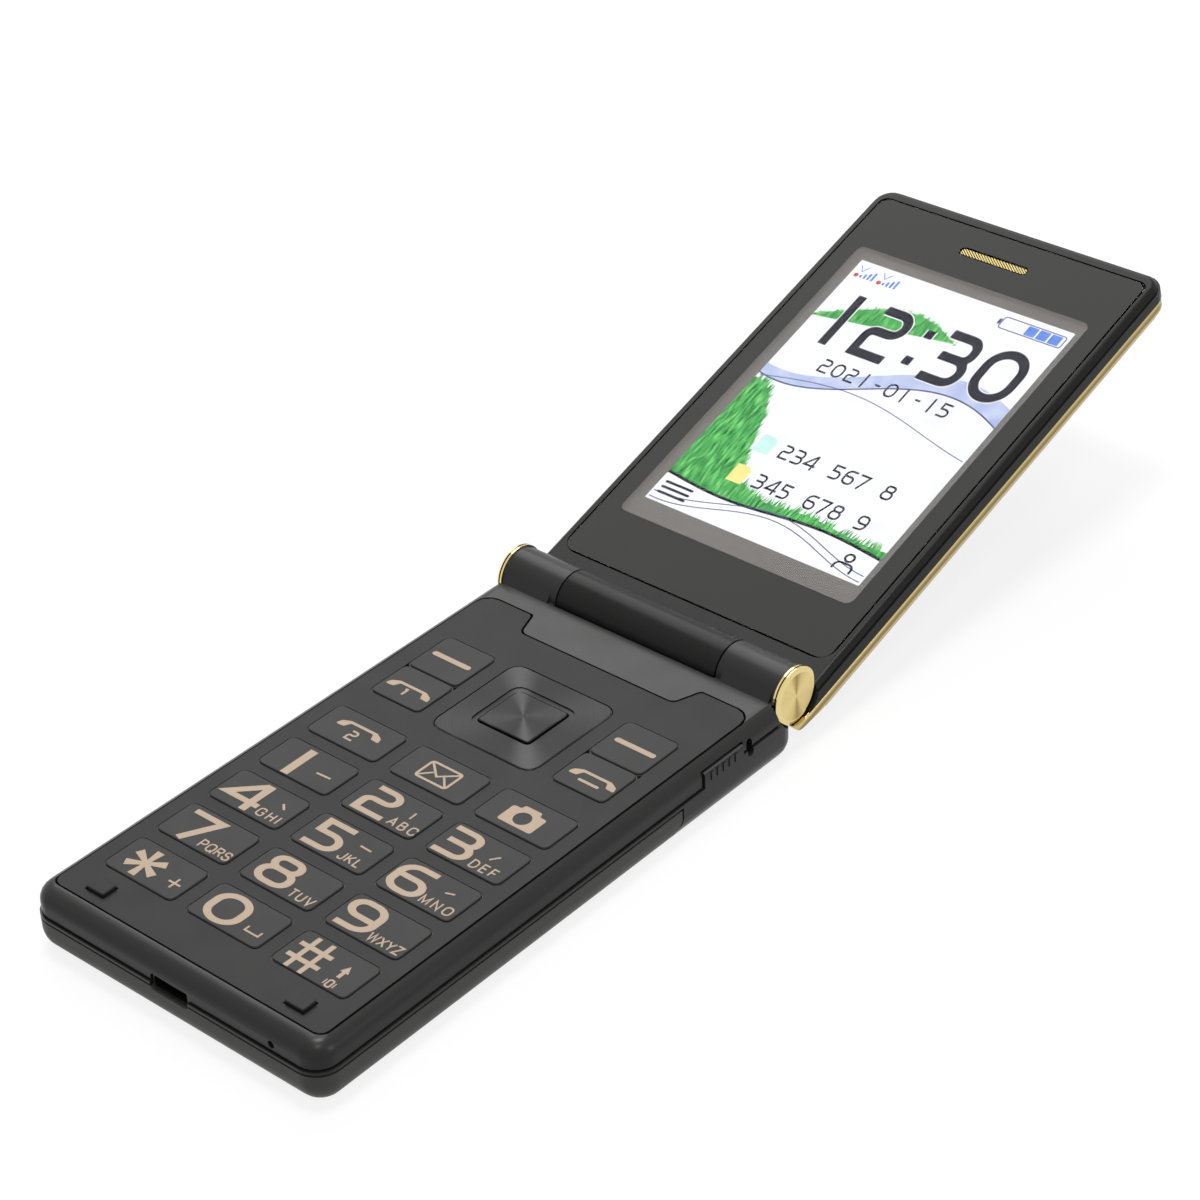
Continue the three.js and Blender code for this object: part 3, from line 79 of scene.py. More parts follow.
class Tree:
    """A node material with short names for the nodes that it is made of."""

    def __init__(self, name):
        self.material = bpy.data.materials.new(name)
        self.material.use_nodes = True
        self.tree = self.material.node_tree
        self.tree.nodes.clear()
        self.output = self.add("ShaderNodeOutputMaterial")
        self.place = self.add("ShaderNodeTexCoord").outputs["Object"]

    def add(self, kind, **values):
        node = self.tree.nodes.new(kind)
        for key, value in values.items():
            setattr(node, key, value)
        return node

    def link(self, source, target):
        self.tree.links.new(source, target)

    def feed(self, node, name, value):
        """Sets an input, or links it where the value is another node's output."""
        socket = node.inputs[name]
        if isinstance(value, bpy.types.NodeSocket):
            self.link(value, socket)
        else:
            socket.default_value = value

    def math(self, operation, a, b=0.0):
        node = self.add("ShaderNodeMath", operation=operation)
        self.feed(node, 0, a)
        self.feed(node, 1, b)
        return node.outputs[0]

    def scaled(self, scale, turn=0.0):
        """The place, scaled per axis and turned about Z."""
        node = self.add("ShaderNodeMapping")
        node.inputs["Scale"].default_value = scale
        node.inputs["Rotation"].default_value = (0, 0, turn)
        self.link(self.place, node.inputs["Vector"])
        return node.outputs[0]

    def noise(self, scale, detail=2, place=None):
        node = self.add("ShaderNodeTexNoise")
        node.inputs["Scale"].default_value = scale
        node.inputs["Detail"].default_value = detail
        self.link(place or self.place, node.inputs["Vector"])
        return node.outputs["Fac"]

    def spread(self, value, low, high, start=0.3, end=0.7):
        """Maps start to end, where a noise has most of its values, onto low to high."""
        node = self.add("ShaderNodeMapRange")
        self.feed(node, "Value", value)
        for name, number in zip(("From Min", "From Max", "To Min", "To Max"), (start, end, low, high)):
            node.inputs[name].default_value = number
        return node.outputs[0]

    def ramp(self, value, *stops):
        """A colour ramp of (position, colour) stops."""
        node = self.add("ShaderNodeValToRGB")
        while len(node.color_ramp.elements) < len(stops):
            node.color_ramp.elements.new(0.5)
        for element, (at, colour) in zip(node.color_ramp.elements, stops):
            element.position = at
            element.color = (*colour, 1)
        self.feed(node, "Fac", value)
        return node.outputs[0]

    def mixed(self, factor, below, above):
        node = self.add("ShaderNodeMix", data_type="RGBA")
        for name, value in zip(("Factor", MIX_BELOW, MIX_ABOVE), (factor, below, above)):
            self.feed(node, name, value)
        return node.outputs[MIX_RESULT]

    def off_axis(self, centre, across):
        """How far a place is from an axis through centre, and its direction from there, over the axes marked 1."""
        apart = self.add("ShaderNodeVectorMath", operation="SUBTRACT")
        self.link(self.place, apart.inputs[0])
        apart.inputs[1].default_value = centre
        flat = self.add("ShaderNodeVectorMath", operation="MULTIPLY")
        self.link(apart.outputs[0], flat.inputs[0])
        flat.inputs[1].default_value = across
        length = self.add("ShaderNodeVectorMath", operation="LENGTH")
        self.link(flat.outputs[0], length.inputs[0])
        out = self.add("ShaderNodeVectorMath", operation="NORMALIZE")
        self.link(flat.outputs[0], out.inputs[0])
        return length.outputs["Value"], out.outputs[0]

    def rings(self, reach, spacing, detail):
        """Turning marks of that spacing in mm."""
        node = self.add("ShaderNodeTexNoise", noise_dimensions="1D")
        node.inputs["Scale"].default_value = 1 / (spacing * MM)
        node.inputs["Detail"].default_value = detail
        self.link(reach, node.inputs["W"])
        return node.outputs["Fac"]

    def bump(self, height, strength, distance):
        node = self.add("ShaderNodeBump")
        node.inputs["Strength"].default_value = strength
        node.inputs["Distance"].default_value = distance
        self.feed(node, "Height", height)
        return node.outputs[0]

    def surface(self, **inputs):
        """A Principled surface; inputs are socket names with _ for a blank."""
        node = self.add("ShaderNodeBsdfPrincipled")
        for key, value in inputs.items():
            self.feed(node, key.replace("_", " "), value)
        self.link(node.outputs[0], self.output.inputs["Surface"])
        return node


def shades(colour, amount):
    """The colour a little darker and a little lighter."""
    return [tuple(min(1.0, c * k) for c in colour) for k in (1 - amount, 1 + amount)]


def moulded(name, colour, roughness, grain=0.25, relief=0.004, uneven=0.03, specular=0.5, tint=0.03):
    """Moulded plastic: an eroded grain of that size in mm, and a slow drift in tone and gloss."""
    t = Tree(name)
    drift = t.noise(70, 3)
    fine = t.noise(1 / (grain * MM), 2)
    low, high = shades(colour, tint)
    both = t.math("ADD", t.math("MULTIPLY", drift, 0.6), t.math("MULTIPLY", fine, 0.4))
    t.surface(
        Base_Color=t.ramp(both, (0.3, low), (0.7, high)),
        Roughness=t.spread(t.noise(160, 3), roughness - uneven, roughness + uneven),
        Specular_IOR_Level=specular,
        Normal=t.bump(fine, 0.6, relief * MM),
    )
    return t.material


def brushed(name, colour, roughness, grooves):
    """Brushed metal; grooves is a scale per axis."""
    t = Tree(name)
    marks = t.noise(1.0, 4, t.scaled(grooves))
    low, high = shades(colour, 0.1)
    t.surface(
        Base_Color=t.ramp(marks, (0.3, low), (0.7, high)),
        Metallic=1.0,
        Roughness=t.spread(marks, roughness * 0.85, roughness * 1.15),
        Normal=t.bump(marks, 0.25, 0.004 * MM),
    )
    return t.material


def spun_plastic():
    """Black finish turned round the middle of the ring, which draws the light out into fans."""
    t = Tree("spun_black")
    reach, out = t.off_axis(RING_MIDDLE, (1, 1, 0))
    marks = t.rings(reach, 0.15, 4)
    low, high = shades((0.008, 0.008, 0.0078), 0.08)
    t.surface(
        Base_Color=t.ramp(marks, (0.3, low), (0.7, high)),
        Specular_IOR_Level=0.42,
        Roughness=t.spread(marks, 0.425, 0.575),
        Anisotropic=1.0,
        Tangent=out,
        Normal=t.bump(marks, 0.25, 0.004 * MM),
    )
    return t.material


def glowing(name, make_colour):
    """A lit part of the screen; make_colour(tree) gives its colour."""
    t = Tree(name)
    t.surface(
        Base_Color=(0.004, 0.004, 0.004, 1),
        Roughness=0.9,
        Specular_IOR_Level=0.0,
        Emission_Color=make_colour(t),
        Emission_Strength=1.0,
    )
    return t.material


# Painted light: one black plastic in two copies, darker as casing_black for the lid's housing and barrel, and
# lighter for the base's housings below.
casing = moulded("casing_black", (0.0125, 0.0125, 0.0121), 0.26, specular=0.105)
shell = moulded("housing_black_lit_copy", (0.0205, 0.0205, 0.02), 0.3, specular=0.19)
panel = moulded("panel_black", (0.019, 0.019, 0.0186), 0.42, specular=0.1)
key_plastic = moulded("key_black", (0.026, 0.026, 0.0255), 0.38, grain=0.2, relief=0.003, specular=0.11)
cover = moulded("cover_grey", (0.06, 0.059, 0.056), 0.45, grain=0.35, relief=0.008, specular=0.21)
# Painted light: about three times lighter than the panel, for the rings in the key gaps.
lip = moulded("lip_painted_light", (0.055, 0.055, 0.054), 0.42, specular=0.1)
# Painted shade: near black without gloss, standing in for the shade in the earpiece's slots.
slot_shade_black = moulded("grille_painted_shade", (0.004, 0.004, 0.004), 0.9, specular=0.01)
rubber = moulded("rubber_black", (0.036, 0.036, 0.035), 0.6, grain=0.3, relief=0.006, specular=0.15)
dark = moulded("dark_plastic", (0.02, 0.02, 0.021), 0.5, specular=0.15)
sleeve = moulded("battery_sleeve", (0.35, 0.36, 0.37), 0.4, grain=0.6)
ink = moulded("legend_ink", (0.43, 0.335, 0.25), 0.5, grain=0.15, relief=0.002, specular=0.1)
mask_ink = moulded("mask_ink", (0.0165, 0.016, 0.015), 0.16, grain=3, relief=0.0001, uneven=0.02,
                   specular=0.1, tint=0.02)


def lid_height(t):
    """How far a place stands out of the lid's hinge plane, in metres."""
    out = LID.to_3x3() @ Vector((0, 0, 1))
    rise = t.add("ShaderNodeVectorMath", operation="DOT_PRODUCT")
    t.link(t.place, rise.inputs[0])
    rise.inputs[1].default_value = out
    return t.math("SUBTRACT", rise.outputs["Value"], out.dot(AXIS))


def strip_gold_painted_bands():
    """Brushed metal strip with painted light across it: two bright edges that are a painted highlight, and a
    darker band between them that is painted shade.
    """
    t = Tree("gold_strip_painted_bands")
    marks = t.noise(1.0, 4, t.scaled((400, 60, 4000)))
    share = t.spread(lid_height(t), 0, 1, STRIP_UNDER * MM, STRIP_TOP * MM)
    across = t.math("ADD", share, t.math("MULTIPLY", marks, 0.08))
    # Painted highlight at both edges, painted shade in the band between them.
    colour = t.ramp(across, (0.12, (0.68, 0.54, 0.25)), (0.34, (0.52, 0.40, 0.17)), (0.5, (0.24, 0.18, 0.07)),
                    (0.76, (0.26, 0.20, 0.08)), (0.9, (0.55, 0.43, 0.18)))
    t.surface(Base_Color=colour, Metallic=1.0, Roughness=t.spread(marks, 0.19, 0.26),
              Normal=t.bump(marks, 0.25, 0.004 * MM))
    return t.material


def turned_gold():
    """Turned cap with turning marks, a polished chamfer and rims; the darker wedges on its face are a painted
    reflection, and the dark groove is painted shade.
    """
    t = Tree("gold_turned")
    reach, out = t.off_axis(AXIS, (0, 1, 1))
    marks = t.rings(reach, 0.12, 3)
    parts, place = t.add("ShaderNodeSeparateXYZ"), t.add("ShaderNodeSeparateXYZ")
    t.link(out, parts.inputs[0])
    t.link(t.place, place.inputs[0])
    # Painted reflection: the face is darker in wedges above and below the axis, and lighter towards its front and
    # back.
    across = t.math("ADD", t.math("ABSOLUTE", parts.outputs["Y"]), t.math("MULTIPLY", marks, 0.06))
    face = t.ramp(across, (0.03, (0.33, 0.24, 0.08)), (0.2, (0.46, 0.35, 0.13)),
                  (0.38, (0.62, 0.48, 0.19)), (0.9, (0.74, 0.59, 0.26)))
    # Painted shade: the groove is coloured near black.
    groove = t.add("ShaderNodeMath", operation="COMPARE")
    t.link(t.math("ABSOLUTE", place.outputs["X"]), groove.inputs[0])
    groove.inputs[1].default_value = CAP_GROOVE_X * MM
    groove.inputs[2].default_value = CAP_GROOVE_HALF * MM
    polished = t.math("GREATER_THAN", reach, CAP_FACE_RADIUS * MM)
    rim_and_painted_wedges = t.mixed(polished, face, (0.74, 0.60, 0.27, 1))
    t.surface(
        Base_Color=t.mixed(groove.outputs[0], rim_and_painted_wedges, (0.05, 0.035, 0.015, 1)),
        Metallic=1.0,
        Roughness=t.spread(polished, 0.3, 0.1, 0, 1),
        Anisotropic=t.spread(polished, 0.9, 0.0, 0, 1),
        Tangent=out,
        Normal=t.bump(marks, 0.2, 0.003 * MM),
    )
    return t.material


def circuit():
    """Green board with a pattern of pads."""
    t = Tree("board_green")
    tracks = t.add("ShaderNodeTexBrick")
    tracks.inputs["Scale"].default_value = 900
    tracks.inputs["Color1"].default_value = (0.01, 0.09, 0.035, 1)
    tracks.inputs["Color2"].default_value = (0.012, 0.12, 0.045, 1)
    tracks.inputs["Mortar"].default_value = (0.02, 0.17, 0.07, 1)
    tracks.inputs["Mortar Size"].default_value = 0.03
    t.link(t.place, tracks.inputs["Vector"])
    t.surface(Base_Color=tracks.outputs["Color"], Roughness=t.spread(t.noise(900), 0.3, 0.5),
              Normal=t.bump(tracks.outputs["Fac"], 0.3, 0.02 * MM))
    return t.material


def clear_pane():
    """Clear pane with a faint unevenness in its polish; the low IOR keeps its mirror image of the stage faint."""
    t = Tree("pane_glass")
    t.surface(
        Base_Color=(1, 1, 1, 1),
        Transmission_Weight=1.0,
        IOR=1.12,
        Roughness=t.spread(t.noise(120), 0.01, 0.03),
    )
    return t.material


def glowing_border():
    """The display's own face: a grey border round the lit area, which glows evenly as painted light and so shows
    no shade.
    """
    t = Tree("display_border_painted_glow")
    fine = t.noise(300, 2)
    t.surface(
        Base_Color=t.ramp(fine, (0.3, (0.018, 0.017, 0.016)), (0.7, (0.022, 0.0205, 0.0195))),
        Roughness=0.7,
        Specular_IOR_Level=0.05,
        # Painted light: the border glows, though only the screen inside it is lit.
        Emission_Color=(0.150, 0.140, 0.131, 1),
        Emission_Strength=1.0,
    )
    return t.material


def bar_gold():
    """Polished gold of the earpiece's bars."""
    t = Tree("bar_gold")
    fine = t.noise(3000, 2)
    t.surface(Base_Color=t.ramp(fine, (0.3, (0.27, 0.215, 0.085)), (0.7, (0.33, 0.265, 0.105))),
              Metallic=1.0, Roughness=t.spread(fine, 0.25, 0.4))
    return t.material


steel = brushed("steel", (0.55, 0.55, 0.54), 0.3, (300, 300, 3000))
# Painted shade: the USB socket's steel is darkened so that its opening reads black.
socket_steel_shaded = brushed("socket_steel_shaded", (0.04, 0.04, 0.04), 0.4, (300, 3000, 300))
copper = brushed("copper", (0.72, 0.38, 0.22), 0.35, (3000, 300, 300))
gold_turned, spun = turned_gold(), spun_plastic()

# By the name of the material in the frame, and then for single pieces
finishes = {
    "casing": casing, "cover_plastic": cover, "panel_plastic": panel, "key_plastic": key_plastic,
    "gold": strip_gold_painted_bands(), "lens": clear_pane(), "display": glowing_border(), "rubber": rubber, "steel": steel,
    "board": circuit(), "battery_sleeve": sleeve, "dark_plastic": dark, "copper": copper,
}
own_finish = {
    "upper_housing": shell, "lower_housing": shell,
    "hinge_cap_left": gold_turned, "hinge_cap_right": gold_turned,
    "nav_ring": spun, "key_ok": spun,
    "bumper_left": panel, "bumper_right": panel,
    "earpiece_grille": slot_shade_black, "usb_socket": socket_steel_shaded,
}


# Shading of the solids

WELD_DISTANCE = 1e-6
SHARPEST_SMOOTH_EDGE = math.radians(32)


def shading_group():
    """Joins the triangles' corners and shades smoothly across every edge flatter than the limit."""
    group = bpy.data.node_groups.new("soft_shading", "GeometryNodeTree")
    group.interface.new_socket("Geometry", in_out="INPUT", socket_type="NodeSocketGeometry")
    group.interface.new_socket("Geometry", in_out="OUTPUT", socket_type="NodeSocketGeometry")
    new = group.nodes.new
    entry, leave = new("NodeGroupInput"), new("NodeGroupOutput")
    merge = new("GeometryNodeMergeByDistance")
    merge.inputs["Distance"].default_value = WELD_DISTANCE
    smooth = new("GeometryNodeSetShadeSmooth")
    smooth.domain = "FACE"
    angle = new("GeometryNodeInputMeshEdgeAngle")
    steep = new("FunctionNodeCompare")
    steep.data_type, steep.operation = "FLOAT", "GREATER_THAN"
    steep.inputs[1].default_value = SHARPEST_SMOOTH_EDGE
    sharp = new("GeometryNodeSetShadeSmooth")
    sharp.domain = "EDGE"
    sharp.inputs["Shade Smooth"].default_value = False
    link = group.links.new
    link(entry.outputs[0], merge.inputs["Geometry"])
    link(merge.outputs[0], smooth.inputs["Geometry"])
    link(smooth.outputs[0], sharp.inputs["Geometry"])
    link(angle.outputs["Unsigned Angle"], steep.inputs[0])
    link(steep.outputs[0], sharp.inputs["Selection"])
    link(sharp.outputs[0], leave.inputs[0])
    return group


soft_shading = shading_group()
for name, obj in nodes.items():
    kind = obj.material_slots[0].name.split(".")[0]
    obj.material_slots[0].material = own_finish.get(name, finishes[kind])
    modifier = obj.modifiers.new("soft_shading", "NODES")
    modifier.node_group = soft_shading
    weighted = obj.modifiers.new("weighted", "WEIGHTED_NORMAL")
    weighted.keep_sharp = True


# Flat thin shapes

ARC_STEP = math.radians(11)
DISC_CORNERS = 28
SAME_PLACE = 1e-6


def filleted(points, closed=False):
    """Points (x, y) or (x, y, radius) with each corner rounded to its radius."""
    count = len(points)
    path = []
    for i, point in enumerate(points):
        here = Vector(point[:2])
        radius = point[2] if len(point) > 2 else 0.0
        if radius == 0 or (not closed and i in (0, count - 1)):
            path.append(here)
            continue
        back = (Vector(points[i - 1][:2]) - here).normalized()
        ahead = (Vector(points[(i + 1) % count][:2]) - here).normalized()
        half = math.acos(max(-1.0, min(1.0, back.dot(ahead)))) / 2
        reach = radius / math.tan(half)
        centre = here + (back + ahead).normalized() * radius / math.sin(half)
        first, last = here + back * reach - centre, here + ahead * reach - centre
        sweep = first.angle_signed(last)
        steps = max(2, round(abs(sweep) / ARC_STEP))
        path += [centre + first @ Matrix.Rotation(sweep * k / steps, 2) for k in range(steps + 1)]
    return path


def strip(path, width, closed=False):
    """Quads of a stroke of that width along a path, mitred at its corners."""
    path = [p for i, p in enumerate(path) if i == 0 or (p - path[i - 1]).length > SAME_PLACE]
    if closed and (path[0] - path[-1]).length < SAME_PLACE:
        path.pop()
    count = len(path)
    left, right = [], []
    for i, here in enumerate(path):
        before = path[i - 1] if closed or i else None
        after = path[(i + 1) % count] if closed or i < count - 1 else None
        a = (here - before).normalized() if before is not None else None
        b = (after - here).normalized() if after is not None else None
        a, b = a or b, b or a
        along = (a + b).normalized()
        across = Vector((-along.y, along.x))
        reach = width / 2 / max(0.35, across.dot(Vector((-a.y, a.x))))
        left.append(here + across * reach)
        right.append(here - across * reach)
    spans = range(count if closed else count - 1)
    return [[left[i], right[i], right[(i + 1) % count], left[(i + 1) % count]] for i in spans]


def area(solids, holes=()):
    """Corners and triangles of what the solid polygons cover together, less the holes."""
    corners, loops = [], []
    for loop in (*solids, *holes):
        loop = [Vector(p[:2]) for p in loop]
        turn = sum(loop[i - 1].x * loop[i].y - loop[i].x * loop[i - 1].y for i in range(len(loop)))
        if turn < 0:
            loop.reverse()
        loops.append(list(range(len(corners), len(corners) + len(loop))))
        corners += loop
    points, _, faces, _, _, origins = delaunay_2d_cdt(corners, [], loops, 1, 1e-5)
    return points, [f for f, within in zip(faces, origins) if within and max(within) < len(solids)]


def filled(outline, *holes):
    """Triangles of an area with holes."""
    points, triangles = area([outline], holes)
    return [[points[i] for i in t] for t in triangles]


def rounded(x, y, width, length, corner):
    """Outline of a rectangle with round corners."""
    half_x, half_y = width / 2, length / 2
    ends = ((-1, -1), (1, -1), (1, 1), (-1, 1))
    return filleted([(x + sx * half_x, y + sy * half_y, corner) for sx, sy in ends], True)


def disc(x, y, radius):
    """Outline of a circle."""
    turns = [math.tau * k / DISC_CORNERS for k in range(DISC_CORNERS)]
    return [Vector((x + radius * math.cos(a), y + radius * math.sin(a))) for a in turns]


def thin(name, body, material, faces, height, place=BASE, thickness=0.015):
    """A film of that thickness in mm, whose top lies at a height in mm, from flat faces that may overlap."""
    points, triangles = area(faces)
    mesh = bpy.data.meshes.new(name)
    build = bmesh.new()
    low, high = ([build.verts.new((p.x * MM, p.y * MM, z * MM)) for p in points]
                 for z in (height - thickness, height))
    sides = []
    for t in triangles:
        build.faces.new([high[i] for i in t])
        build.faces.new([low[i] for i in t[::-1]])
        sides += [(t[i - 1], t[i]) for i in range(3)]
    inner = set(sides)
    for a, b in sides:
        if (b, a) not in inner:
            build.faces.new((low[a], low[b], high[b], high[a]))
    bmesh.ops.recalc_face_normals(build, faces=build.faces)
    bmesh.ops.delete(build, geom=[v for v in build.verts if not v.link_faces], context="VERTS")
    build.to_mesh(mesh)
    build.free()
    obj = bpy.data.objects.new(name, mesh)
    scene.collection.objects.link(obj)
    obj.data.materials.append(material)
    obj.matrix_world = place
    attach(obj, body)


def moved(faces, x, y, across=1.0, up=1.0):
    """Faces stretched about the origin, then moved."""
    return [[Vector((p.x * across + x, p.y * up + y)) for p in face] for face in faces]


# Numerals and letters

# Centre lines in mm for a numeral 6.4 high, before it is widened; a third number rounds the corner.
TOP = 2.675
NUMERALS = {
    "0": [("loop", (-2.05, -TOP, 2.0), (2.05, -TOP, 2.0), (2.05, TOP, 2.0), (-2.05, TOP, 2.0))],
    "1": [("line", (0, -3.2), (0, 3.2))],
    "2": [("line", (-1.75, TOP), (1.75, TOP, 1.3), (1.75, 0.15, 1.2), (-1.75, 0.15, 0.9), (-1.75, -TOP),
           (2.2, -TOP))],
    "3": [("line", (-2.2, TOP), (1.6, TOP, 1.2), (1.6, 0.1, 1.0), (-1.7, 0.1)),
          ("line", (0.3, 0.1), (1.8, 0.1, 1.3), (1.8, -TOP, 1.35), (-2.2, -TOP))],
    "4": [("line", (1.38, -3.2), (1.38, 3.2)), ("line", (1.2, 3.0), (-2.25, -1.36), (2.55, -1.36))],
    "5": [("line", (1.9, TOP), (-1.72, TOP), (-1.72, 0.4), (1.75, 0.4, 1.45), (1.75, -TOP, 1.45), (-2.2, -TOP))],
    "6": [("line", (2.0, TOP), (-2.0, TOP, 1.95), (-2.0, -TOP, 1.7), (2.0, -TOP, 1.4), (2.0, 0.3, 1.4),
           (-2.0, 0.3))],
    "7": [("line", (-2.45, TOP), (1.75, TOP), (-0.75, -3.1))],
    "8": [("loop", (-1.7, 0.35, 1.1), (1.7, 0.35, 1.1), (1.7, TOP, 1.1), (-1.7, TOP, 1.1)),
          ("loop", (-2.0, -TOP, 1.4), (2.0, -TOP, 1.4), (2.0, 0.35, 1.4), (-2.0, 0.35, 1.4))],
    "9": [("line", (-2.0, -TOP), (2.0, -TOP, 1.95), (2.0, TOP, 1.7), (-2.0, TOP, 1.4), (-2.0, -0.3, 1.4),
           (2.0, -0.3))],
    "-": [("line", (-1.2, 0), (1.2, 0))],
    ":": [("line", (0, 1.2), (0, 2.2)), ("line", (0, -2.2), (0, -1.2))],
}

# Letters in a box one high; a third number rounds the corner.
LETTERS = {
    "A": (0.72, [[(0, 0), (0.36, 1), (0.72, 0)], [(0.13, 0.34), (0.59, 0.34)]]),
    "B": (0.6, [[(0, 0), (0, 1), (0.52, 1, 0.2), (0.52, 0.54, 0.2), (0, 0.54)],
                [(0.2, 0.54), (0.6, 0.54, 0.24), (0.6, 0, 0.24), (0, 0)]]),
    "C": (0.66, [[(0.66, 0.7), (0.6, 1, 0.2), (0, 1, 0.32), (0, 0, 0.32), (0.6, 0, 0.2), (0.66, 0.3)]]),
    "D": (0.64, [[(0, 0), (0, 1), (0.64, 1, 0.4), (0.64, 0, 0.4), (0, 0)]]),
    "E": (0.54, [[(0.54, 1), (0, 1), (0, 0), (0.54, 0)], [(0, 0.52), (0.48, 0.52)]]),
    "F": (0.52, [[(0.52, 1), (0, 1), (0, 0)], [(0, 0.5), (0.45, 0.5)]]),
    "G": (0.68, [[(0.66, 0.72), (0.6, 1, 0.2), (0, 1, 0.32), (0, 0, 0.32), (0.68, 0, 0.22), (0.68, 0.48),
                 (0.4, 0.48)]]),
    "H": (0.6, [[(0, 0), (0, 1)], [(0.6, 0), (0.6, 1)], [(0, 0.52), (0.6, 0.52)]]),
    "I": (0.0, [[(0, 0), (0, 1)]]),
    "J": (0.46, [[(0.46, 1), (0.46, 0, 0.22), (0, 0, 0.2), (0, 0.28)]]),
    "K": (0.62, [[(0, 0), (0, 1)], [(0.58, 1), (0.02, 0.38)], [(0.2, 0.56), (0.62, 0)]]),
    "L": (0.5, [[(0, 1), (0, 0), (0.5, 0)]]),
    "M": (0.78, [[(0, 0), (0, 1), (0.39, 0.1), (0.78, 1), (0.78, 0)]]),
    "N": (0.62, [[(0, 0), (0, 1), (0.62, 0), (0.62, 1)]]),
    "O": (0.72, [[(0.36, 1), (0, 1, 0.34), (0, 0, 0.34), (0.72, 0, 0.34), (0.72, 1, 0.34), (0.36, 1)]]),
    "P": (0.56, [[(0, 0), (0, 1), (0.56, 1, 0.24), (0.56, 0.46, 0.24), (0, 0.46)]]),
    "Q": (0.72, [[(0.36, 1), (0, 1, 0.34), (0, 0, 0.34), (0.72, 0, 0.34), (0.72, 1, 0.34), (0.36, 1)],
                [(0.46, 0.24), (0.76, -0.08)]]),
    "R": (0.6, [[(0, 0), (0, 1), (0.57, 1, 0.22), (0.57, 0.5, 0.22), (0, 0.5)], [(0.34, 0.5), (0.6, 0)]]),
    "S": (0.58, [[(0.56, 0.74), (0.54, 1, 0.2), (0.02, 1, 0.22), (0.02, 0.53, 0.2), (0.58, 0.53, 0.22),
                 (0.58, 0, 0.24), (0, 0, 0.22), (0, 0.28)]]),
    "T": (0.6, [[(0, 1), (0.6, 1)], [(0.3, 1), (0.3, 0)]]),
    "U": (0.6, [[(0, 1), (0, 0, 0.28), (0.6, 0, 0.28), (0.6, 1)]]),
    "V": (0.68, [[(0, 1), (0.34, 0), (0.68, 1)]]),
    "W": (0.92, [[(0, 1), (0.23, 0), (0.46, 0.95), (0.69, 0), (0.92, 1)]]),
    "X": (0.64, [[(0, 0), (0.64, 1)], [(0, 1), (0.64, 0)]]),
    "Y": (0.64, [[(0, 1), (0.32, 0.46), (0.64, 1)], [(0.32, 0.46), (0.32, 0)]]),
    "Z": (0.6, [[(0, 1), (0.6, 1), (0, 0), (0.6, 0)]]),
}


def numeral(sign, x, y, weight=0.97, across=1.32, size=1.0):
    """A numeral, widened by across and scaled by size after its strokes are drawn."""
    faces = []
    for kind, *points in NUMERALS[sign]:
        faces += strip(filleted(points, kind == "loop"), weight, kind == "loop")
    return moved(faces, x, y, across * size, size)


LETTER_HEIGHT, LETTER_WEIGHT = 1.85, 0.26
LETTER_ACROSS, LETTER_ROUND = LETTER_HEIGHT * 0.92, LETTER_HEIGHT * 0.85


def word(text, left, right, foot):
    """Letters set between two places across, standing on a foot line."""
    widths = [LETTERS[c][0] for c in text]
    gap = (right - left - LETTER_WEIGHT - sum(widths) * LETTER_ACROSS) / (len(text) - 1)
    up = LETTER_HEIGHT - LETTER_WEIGHT
    faces, x = [], left + LETTER_WEIGHT / 2
    for c, width in zip(text, widths):
        for path in LETTERS[c][1]:
            points = [(p[0] * LETTER_ACROSS, p[1] * up, *(r * LETTER_ROUND for r in p[2:])) for p in path]
            faces += moved(strip(filleted(points), LETTER_WEIGHT), x, foot + LETTER_WEIGHT / 2)
        x += width * LETTER_ACROSS + gap
    return faces


def line(points, width):
    """A stroke through points given as pairs."""
    return strip([Vector(p) for p in points], width)


def bar(x0, y0, x1, y1, width):
    """A straight stroke."""
    return line(((x0, y0), (x1, y1)), width)


def pill(x, y, length, width):
    """A bar with round ends."""
    return filled(rounded(x, y, length, width, width * 0.48))


# Legends of the keys

def handset(x, y):
    """An arched handset, 8.6 wide."""
    half = [(4.3, -0.85, 0.25), (3.9, 0.2, 0.6), (2.6, 0.85, 0.8)]
    inner = [(2.2, 0.33, 0.3), (2.75, -0.75, 0.2)]
    outline = half + [(-px, py, r) for px, py, r in half[::-1]]
    outline += [(-px, py, r) for px, py, r in inner[::-1]] + inner
    return moved(filled(filleted(outline, True)), x, y)


def star(x, y):
    """Six arms that widen outwards, given by their angle and their length."""
    faces = []
    for degrees, reach in ((90, 2.88), (270, 2.88), (28, 3.1), (-28, 3.1), (152, 3.1), (208, 3.1)):
        a = math.radians(degrees)
        along, across = Vector((math.cos(a), math.sin(a))), Vector((-math.sin(a), math.cos(a)))
        end = along * reach
        faces.append([across * 0.3, across * -0.3, end + across * -0.68, end + across * 0.68])
    return moved(faces, x, y)


def hash_mark(x, y):
    """A square with its four sides drawn on past its corners."""
    half, weight, reach_up, reach_across = 1.27, 0.8, 3.4, 2.95
    faces = strip([Vector(p) * half for p in ((-1, -1), (1, -1), (1, 1), (-1, 1))], weight, True)
    edge = half + weight / 2
    for side in (-half, half):
        for end in (-1, 1):
            faces += bar(side, end * edge, side, end * reach_up, weight)
            faces += bar(end * edge, side, end * reach_across, side, weight)
    return moved(faces, x, y)


